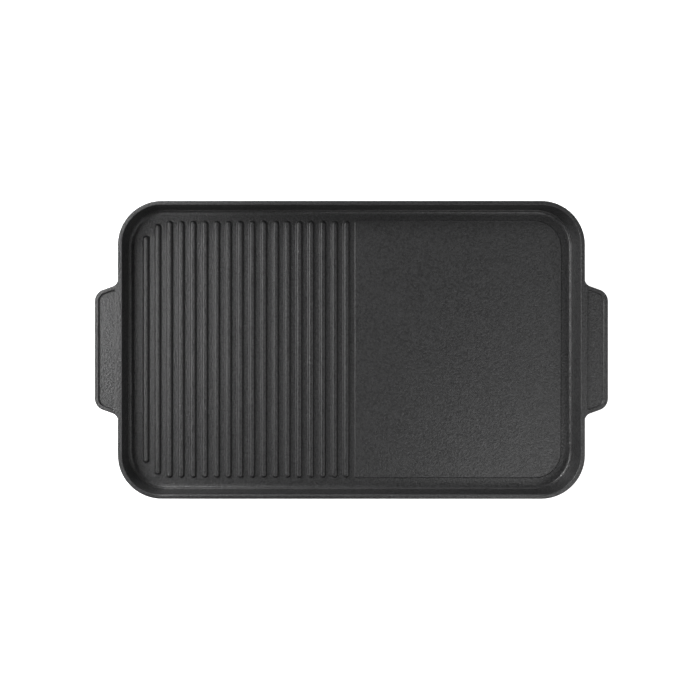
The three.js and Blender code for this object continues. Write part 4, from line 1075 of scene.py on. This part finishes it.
def make_rack(side):
    """Comb of four open cradles on a flat foot."""
    node = "element_rack_right" if side > 0 else "element_rack_left"
    base_z = low(node).z
    thickness = 1.2 * mm
    post = 6 * mm
    hole = 3.55 * mm
    bevel = 1 * mm
    axis = ELEMENT_Z - base_z
    strip = axis / 2
    horn = high(node).z - base_z
    end = ELEMENT_Y + post
    points = [(-end, 0), (end, 0)]
    for y in (ELEMENT_Y, ELEMENT_ROW, -ELEMENT_ROW, -ELEMENT_Y):
        points += [(y + post, strip), (y + post, horn - bevel), (y + post - bevel, horn)]
        points += [(y + hole, horn)]
        for a in parts(0, math.pi, 12):
            points.append((y + hole * math.cos(a), axis - hole * math.sin(a)))
        points += [(y - hole, horn), (y - post + bevel, horn), (y - post, horn - bevel)]
        points += [(y - post, strip)]
    outline = [Vector(point) for point in points]
    edge = 0.15 * mm
    face = thickness / 2
    rings = []
    for inset, across in ((edge, -face), (0, edge - face), (0, face - edge), (edge, face)):
        rings.append([Vector((across, p.x, base_z + p.y)) for p in shrunk(outline, inset)])
    comb = loft("comb", rings)
    foot_outline = rectangle(5 * mm, end, 1 * mm, 4)
    foot = rounded_block("comb_foot", foot_outline, base_z, base_z + SHEET, 0.2 * mm)
    shifted(foot, side * (5 * mm - face))
    joined(comb, foot)
    shifted(comb, side * (low("element_rack_right").x + face))
    finished(comb, "base", "bracket_sheet", BRACKET, node, sharp=30.0)


def make_flange():
    node = "element_flange"
    middle = centre(node)
    outline = rectangle(high(node).x, half(node).y, 5 * mm, 8)
    flange = rounded_block("flange", outline, low(node).z, high(node).z, 0.3 * mm)
    shifted(flange, 0, middle.y)
    holes = []
    for side in (-1, 1):
        rivet_x = centre("element_rivet_right").x
        holes.append(drill(3.5 * mm, side * LEG_X, LEG_Y, low(node).z, 32))
        holes.append(drill(SCREW_HOLE, side * rivet_x, LEG_Y, low(node).z))
    cut(flange, gathered(holes))
    finished(flange, "base", "bracket_sheet", BRACKET, node, sharp=30.0)


def make_rivet(rivet):
    bottom = low(rivet).z
    top = high(rivet).z
    head = 2.8 * mm
    stem = 1.5 * mm
    rise = 1 * mm
    ease = 0.2 * mm
    profile = [(0, bottom), (head - ease, bottom), (head, bottom + ease), (head, bottom + rise)]
    profile += [(stem, bottom + rise), (stem, top - rise), (head, top - rise)]
    for a in quarter(6)[1:-1]:
        profile.append((head * math.cos(a), top - rise + rise * math.sin(a)))
    piece = turned(rivet + "_fine", profile + [(0, top)], 36)
    shifted(piece, centre(rivet).x, centre(rivet).y)
    finished(piece, "base", "screw_nickel", NICKEL, rivet)


def make_cup():
    node = "sensor_cup"
    middle = centre(node)
    bottom = low(node).z
    top = high(node).z
    radius = 7.5 * mm
    inner = radius - 1 * mm
    edge = 0.8 * mm
    ease = 0.1 * mm
    profile = [(0, top - 1 * mm), (radius - 1.2 * mm, top - 1 * mm), (inner, top - 1.2 * mm)]
    profile += [(inner, bottom + ease), (inner + ease, bottom), (radius - ease, bottom)]
    profile += [(radius, bottom + ease), *arc(radius - edge, top - edge, edge, 0, 90, 6), (0, top)]
    cup = shifted(turned("cup", profile, 64), middle.x, middle.y)
    finished(cup, "sensor", "sensor_aluminium", SENSOR, node)


def make_holder():
    node = "sensor_holder"
    middle = centre(node)
    bottom = low(node).z
    top = high(node).z
    bore = 7.8 * mm
    outer = 9 * mm
    brim = 14 * mm
    centre_hole = 2 * mm
    ease = 0.3 * mm
    fillet = 1 * mm
    floor = bottom + 1.2 * mm
    profile = [(centre_hole, bottom), (brim - ease, bottom), (brim, bottom + ease)]
    profile += [(brim, floor - ease), (brim - ease, floor)]
    for a in quarter(5):
        profile.append((outer + fillet * (1 - math.sin(a)), floor + fillet * (1 - math.cos(a))))
    profile += [(outer, top - ease), (outer - ease, top), (bore + ease, top), (bore, top - ease)]
    profile += [(bore, floor), (centre_hole, floor)]
    holder = shifted(turned("holder", profile, 64), middle.x, middle.y)
    finished(holder, "base", "bracket_sheet", BRACKET, node)


def make_spring():
    """Coil under the sensor cup, with a mesh of its own."""
    node = "sensor_spring"
    middle = centre(node)
    bottom = low(node).z
    top = high(node).z
    coil = half(node).x - SPRING_WIRE
    count = SPRING_TURNS * 28
    path = []
    for step in range(count + 1):
        angle = 2 * math.pi * SPRING_TURNS * step / count
        z = bottom + SPRING_WIRE + (top - bottom - 2 * SPRING_WIRE) * step / count
        path.append(Vector((middle.x + coil * math.cos(angle), middle.y + coil * math.sin(angle), z)))
    spring = sweep("spring", path, SPRING_WIRE, 10)
    finished(spring, "base", "spring_steel", STEEL, node, sharp=50.0)
    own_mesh(spring)


make_pan()
make_element()
make_rack(-1)
make_rack(1)
make_flange()
make_rivet("element_rivet_left")
make_rivet("element_rivet_right")
make_cup()
make_holder()
make_spring()

for number in range(1, 5):
    node = "pan_screw_%d" % number
    middle = centre(node)
    head_z = high(node).z - SCREW_HEAD
    place = (middle.x, middle.y, head_z)
    piece = screw(node + "_fine", place, upright, head_z - low(node).z)
    finished(piece, "base", "screw_nickel", NICKEL, node)
    node = "cover_screw_%d" % number
    middle = centre(node)
    head_z = low(node).z + SCREW_HEAD
    place = (middle.x, middle.y, head_z)
    piece = screw(node + "_fine", place, upside_down, high(node).z - head_z)
    finished(piece, "base", "screw_nickel", NICKEL, node)

# --- knob, panel and lamp

KNOB_Z = centre("control_knob").z
KNOB_REAR_Y = high("control_knob").y
KNOB_FLUTES = 24
MARK_LOW = -0.01 * mm  # printed marks lie just proud of the panel's face
MARK_HIGH = 0.05 * mm


def knob_ring(radius, z, flute, steps=192):
    """Circle with shallow flutes: a flute of 0 leaves it round."""
    ring = []
    for index in range(steps):
        angle = 2 * math.pi * index / steps
        reach = radius - flute * (1 - math.cos(KNOB_FLUTES * angle)) / 2
        ring.append(Vector((reach * math.cos(angle), reach * math.sin(angle), z)))
    return ring


def make_knob():
    skirt_radius = 12.8
    grip = 11.0
    depth = 12.0
    flute = 0.85
    crown_z = depth - 1.3
    # radius, height above the panel and depth of flute, in mm
    stations = [(8.4, 4.8, 0), (8.4, 0.3, 0), (8.7, 0, 0), (skirt_radius - 0.3, 0, 0)]
    stations += [(skirt_radius, 0.3, 0), (skirt_radius, 1.6, 0), (skirt_radius - 0.12, 1.9, 0)]
    stations += [(skirt_radius - 0.45, 2.12, 0), (grip + 0.7, 2.35, 0), (grip + 0.35, 2.5, 0)]
    stations += [(grip + 0.1, 2.8, flute * 0.35), (grip, 3.3, flute), (grip - 0.25, crown_z, flute)]
    for a in quarter(7)[1:]:
        inset = 0.25 + 1.1 * (1 - math.cos(a))
        stations.append((grip - inset, crown_z + 1.1 * math.sin(a), flute * (1 - 0.8 * a / 1.6)))
    stations += [(grip - 2.4, depth - 0.2, 0), (grip - 2.75, depth - 0.45, 0)]
    stations += [(grip - 3.2, depth - 0.5, 0), (4, depth - 0.5, 0)]
    rings = [knob_ring(radius * mm, z * mm, cleft * mm) for radius, z, cleft in stations]
    knob = loft("knob", rings)
    bar_outline = rectangle(0.9 * mm, 4.0 * mm, 0.8 * mm, 8)
    bar = rounded_block("bar", bar_outline, (depth - 2) * mm, (depth + 0.7) * mm, 0.35 * mm)
    joined(knob, shifted(bar, 0, 5.45 * mm))
    shifted(remapped(knob, to_front), 0, KNOB_REAR_Y, KNOB_Z)
    finished(knob, "knob", "knob_plastic", KNOB, "control_knob", sharp=40.0)


def make_panel():
    node = "control_panel"
    size = half(node)
    outline = rectangle(high(node).x, size.z, RECESS_CORNER - PANEL_MARGIN, 10)
    panel = rounded_block("panel", outline, 0, 2 * size.y, 0.2 * mm)
    shaft_hole = drill(4.8 * mm, 0, steps=36)
    lens_hole = drill(3.1 * mm, centre("pilot_lens").x, steps=36)
    cut(panel, gathered([shaft_hole, lens_hole]))
    shifted(remapped(panel, to_front), 0, high(node).y, KNOB_Z)
    finished(panel, "base", "panel_print", PANEL, node, sharp=30.0)


def dial_mark(angle, near, far):
    """Radial stroke of the dial."""
    outline = rectangle((far - near) / 2, 0.28 * mm, 0.1 * mm, 3)
    mark = rounded_block("mark", outline, MARK_LOW, MARK_HIGH, 0.02 * mm, 2)
    middle = (near + far) / 2
    cosine = math.cos(angle)
    sine = math.sin(angle)

    def spun(v):
        out = v.x + middle
        return Vector((cosine * out - sine * v.y, sine * out + cosine * v.y, v.z))

    return remapped(mark, spun)


def make_marks():
    """Strokes that lengthen round the dial, a dot at its start and a ring round the lens."""
    first = math.radians(225)
    last = math.radians(-45)
    count = 28
    near = 13.9 * mm
    room = RECESS_HALF_Z - 1.4 * mm
    marks = []
    for index in range(1, count):
        angle = first + (last - first) * index / (count - 1)
        far = near + (0.7 + 1.5 * index / count) * mm
        if abs(math.sin(angle)) * far > room:
            far = room / abs(math.sin(angle))
        if far > near + 0.2 * mm:
            marks.append(dial_mark(angle, near, far))
    dot = tube("dot", 0, 0.9 * mm, MARK_LOW, MARK_HIGH, 32)
    marks.append(shifted(dot, 15.0 * mm * math.cos(first) - 1.2 * mm, -11.6 * mm))
    halo = tube("halo", 5.3 * mm, 5.7 * mm, MARK_LOW, MARK_HIGH, 64)
    marks.append(shifted(halo, centre("pilot_lens").x))
    print_piece = remapped(gathered(marks), to_front)
    shifted(print_piece, 0, low("control_panel").y, KNOB_Z)
    print_piece.name = "panel_marks"
    finished(print_piece, "base", "panel_print", MARKS)


def make_lens():
    node = "pilot_lens"
    middle = centre(node)
    depth = high(node).y - KNOB_REAR_Y
    radius = 4 * mm
    stem = 2.8 * mm
    brim = 0.7 * mm
    dome = 1.3 * mm
    ease = 0.15 * mm
    profile = [(0, -depth), (stem, -depth), (stem, 0), (radius - ease, 0), (radius, ease)]
    profile += [(radius, brim)]
    profile += [(radius * math.cos(a), brim + dome * math.sin(a)) for a in quarter(8)[1:-1]]
    lens = remapped(turned("lens", profile + [(0, brim + dome)], 48), to_front)
    shifted(lens, middle.x, KNOB_REAR_Y, middle.z)
    finished(lens, "base", "lens_red", LENS, node)


make_knob()
make_panel()
make_marks()
make_lens()

# --- mains inlet

INLET = "mains_inlet"
PIN_SLOTS = (("live", -7 * mm), ("neutral", 7 * mm), ("earth", 0.0))


def make_inlet():
    socket = centre(INLET)
    size = half(INLET)
    thickness = 2.5 * mm
    flare = 0.5 * mm
    flange = rounded_block("inlet", rectangle(size.x, size.z, 5 * mm, 10), 0, thickness, 0.6 * mm)
    body_outline = rectangle(13.7 * mm, 10 * mm, 2 * mm, 6)
    joined(flange, rounded_block("inlet_body", body_outline, -24 * mm, 1 * mm, 0.3 * mm))
    pairs = [(0, thickness - 16 * mm)]
    pairs += [(-flare * (1 - math.cos(a)), thickness - flare * (1 - math.sin(a))) for a in quarter(4)]
    pairs += [(-flare, thickness + 2 * mm)]
    tools = [stacked("mouth", rectangle(12.1 * mm, 8.3 * mm, 4.5 * mm, 8), pairs)]
    tools += [drill(SCREW_HOLE, side * 20 * mm) for side in (-1, 1)]
    cut(flange, gathered(tools))
    slots = []
    for pin, x in PIN_SLOTS:
        slot_outline = rectangle(1.3 * mm, 2.3 * mm, 0.2 * mm, 2)
        slot = rounded_block("slot", slot_outline, -40 * mm, -5 * mm, 0.1 * mm)
        slots.append(shifted(slot, x, centre("inlet_pin_" + pin).z - socket.z))
    cut(flange, gathered(slots))
    shifted(remapped(flange, to_back), socket.x, high(INLET).y - thickness, socket.z)
    finished(flange, "base", "inlet_plastic", INLET_PLASTIC, INLET, sharp=35.0)


def make_pin(node):
    middle = centre(node)
    reach = half(node).y
    blade = rounded_block(node + "_fine", rectangle(1 * mm, 2 * mm, 0.4 * mm, 4), -reach, reach, 0.35 * mm)
    shifted(remapped(blade, to_back), middle.x, middle.y, middle.z)
    finished(blade, "base", "terminal_nickel", NICKEL, node)


def make_inlet_screw(node):
    middle = centre(node)
    head_y = high(node).y - SCREW_HEAD
    place = (middle.x, head_y, middle.z)
    piece = screw(node + "_fine", place, to_back, head_y - low(node).y)
    finished(piece, "base", "screw_nickel", NICKEL, node)


make_inlet()
for pin in ("live", "neutral", "earth"):
    make_pin("inlet_pin_" + pin)
make_inlet_screw("inlet_screw_left")
make_inlet_screw("inlet_screw_right")

# --- pieces kept from the frame

KEPT = (
    (COVER, ("bottom_cover",)),
    (CERAMIC, ("element_seal_left", "element_seal_right", "thermostat_body")),
    (NICKEL, ("element_terminal_left", "element_terminal_right", "thermostat_nut")),
    (NICKEL, ("earth_lug", "earth_screw", "earth_nut")),
    (STEEL, ("thermostat_shaft",)),
    (LAMP, ("pilot_lamp",)),
    (COPPER, ("capillary_tube",)),
    (FUSE, ("thermal_fuse",)),
    (WIRE_BROWN, ("wire_live", "wire_fuse")),
    (WIRE_BLUE, ("wire_neutral",)),
    (WIRE_GREEN, ("wire_earth",)),
    (SLEEVE, ("wire_switched", "pilot_lead_1", "pilot_lead_2")),
)

for material, nodes in KEPT:
    for node in nodes:
        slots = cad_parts[node].data.materials
        slots.clear()
        slots.append(material)

# --- stage, light and camera

FLOOR_SIZE = 30
FLOOR_GLOW = 0.95
HORIZON_GLOW = 0.95
OVERHEAD_GLOW = 0.02
SOFTBOX_DISTANCE = 1.15
SOFTBOX_SIZE = 0.5
# name, degrees from straight up, degrees round from +X, power
SOFTBOXES = (
    ("key_back_left", 62, 135, 15.4),
    ("key_left", 40, 180, 5.0),
    ("low_left", 62, 180, 3.4),
    ("fill_front_right", 40, 315, 2.5),
    ("low_right", 62, 0, 1.3),
    ("fill_right", 40, 0, 0.7),
)
CAMERA_HEIGHT = 0.70  # above the rim
CAMERA_X = -0.041
CAMERA_Y = 0.018
SENSOR_WIDTH = 36.0
FRAME_WIDTH = 0.6986  # what the camera sees across, at the rim's height
SHIFT_X = 0.0567
SHIFT_Y = -0.026


def make_stage():
    """Plain white floor, large enough to fill every view, with a painted contact shadow that dims its
    emission close round the feet.
    """
    bpy.ops.mesh.primitive_plane_add(size=FLOOR_SIZE, location=(0, 0, cad_low.z - 0.4 * mm))
    floor = bpy.context.object
    floor.name = "floor"
    n = Nodes("floor_white")
    tone = n.mix(n.ranged(n.noise(900.0), 0.3, 0.7), (0.80, 0.80, 0.80), (0.83, 0.83, 0.83))
    n.link(tone, n.shader.inputs["Base Color"])
    n.shader.inputs["Roughness"].default_value = 0.9
    n.shader.inputs["Emission Color"].default_value = (1, 1, 1, 1)
    # painted contact shadow: ambient occlusion lowers the floor's emission round the feet
    painted_shadow_ao = n.add("ShaderNodeAmbientOcclusion", samples=8)
    painted_shadow_ao.inputs["Distance"].default_value = 30 * mm
    emission_with_painted_shadow = n.ranged(painted_shadow_ao.outputs["AO"], 0.2, 0.75, 0.35, FLOOR_GLOW)
    n.link(emission_with_painted_shadow, n.shader.inputs["Emission Strength"])
    floor.data.materials.append(n.material)


def make_world():
    """White to the camera. As a light, dim overhead and bright near the horizon, as in a cove."""
    world = bpy.data.worlds.new("studio")
    bpy.context.scene.world = world
    world.use_nodes = True
    nodes = world.node_tree.nodes
    link = world.node_tree.links.new
    background = nodes["Background"]
    background.inputs["Color"].default_value = (1, 1, 1, 1)
    split = nodes.new("ShaderNodeSeparateXYZ")
    link(nodes.new("ShaderNodeTexCoord").outputs["Generated"], split.inputs["Vector"])
    height = nodes.new("ShaderNodeMapRange")
    link(split.outputs["Z"], height.inputs["Value"])
    height.inputs["From Min"].default_value = 0.10
    height.inputs["From Max"].default_value = 0.32
    height.inputs["To Min"].default_value = HORIZON_GLOW
    height.inputs["To Max"].default_value = OVERHEAD_GLOW
    backdrop = nodes.new("ShaderNodeMath")
    backdrop.operation = "MAXIMUM"
    link(height.outputs["Result"], backdrop.inputs[0])
    link(nodes.new("ShaderNodeLightPath").outputs["Is Camera Ray"], backdrop.inputs[1])
    link(backdrop.outputs[0], background.inputs["Strength"])


def softbox(name, tilt, turn, power):
    """Square area light that points at the middle of the floor under the object."""
    data = bpy.data.lights.new(name, "AREA")
    data.shape = "RECTANGLE"
    data.size = SOFTBOX_SIZE
    data.size_y = SOFTBOX_SIZE
    data.energy = power
    light = bpy.data.objects.new(name, data)
    bpy.context.scene.collection.objects.link(light)
    across = SOFTBOX_DISTANCE * math.sin(math.radians(tilt))
    x = across * math.cos(math.radians(turn))
    y = across * math.sin(math.radians(turn))
    z = RIM_Z + SOFTBOX_DISTANCE * math.cos(math.radians(tilt))
    light.location = (x, y, z)
    light.rotation_euler = Vector((-x, -y, -z)).to_track_quat("-Z", "Y").to_euler()


def make_camera():
    data = bpy.data.cameras.new("camera")
    camera = bpy.data.objects.new("camera", data)
    bpy.context.scene.collection.objects.link(camera)
    bpy.context.scene.camera = camera
    data.sensor_width = SENSOR_WIDTH
    data.lens = SENSOR_WIDTH * CAMERA_HEIGHT / FRAME_WIDTH
    data.shift_x = SHIFT_X
    data.shift_y = SHIFT_Y
    camera.location = (CAMERA_X, CAMERA_Y, RIM_Z + CAMERA_HEIGHT)
    camera.rotation_euler = (0, 0, 0)


make_stage()
make_world()
for label, tilt, turn, power in SOFTBOXES:
    softbox(label, tilt, turn, power)
make_camera()
bpy.context.scene.view_settings.view_transform = "Standard"
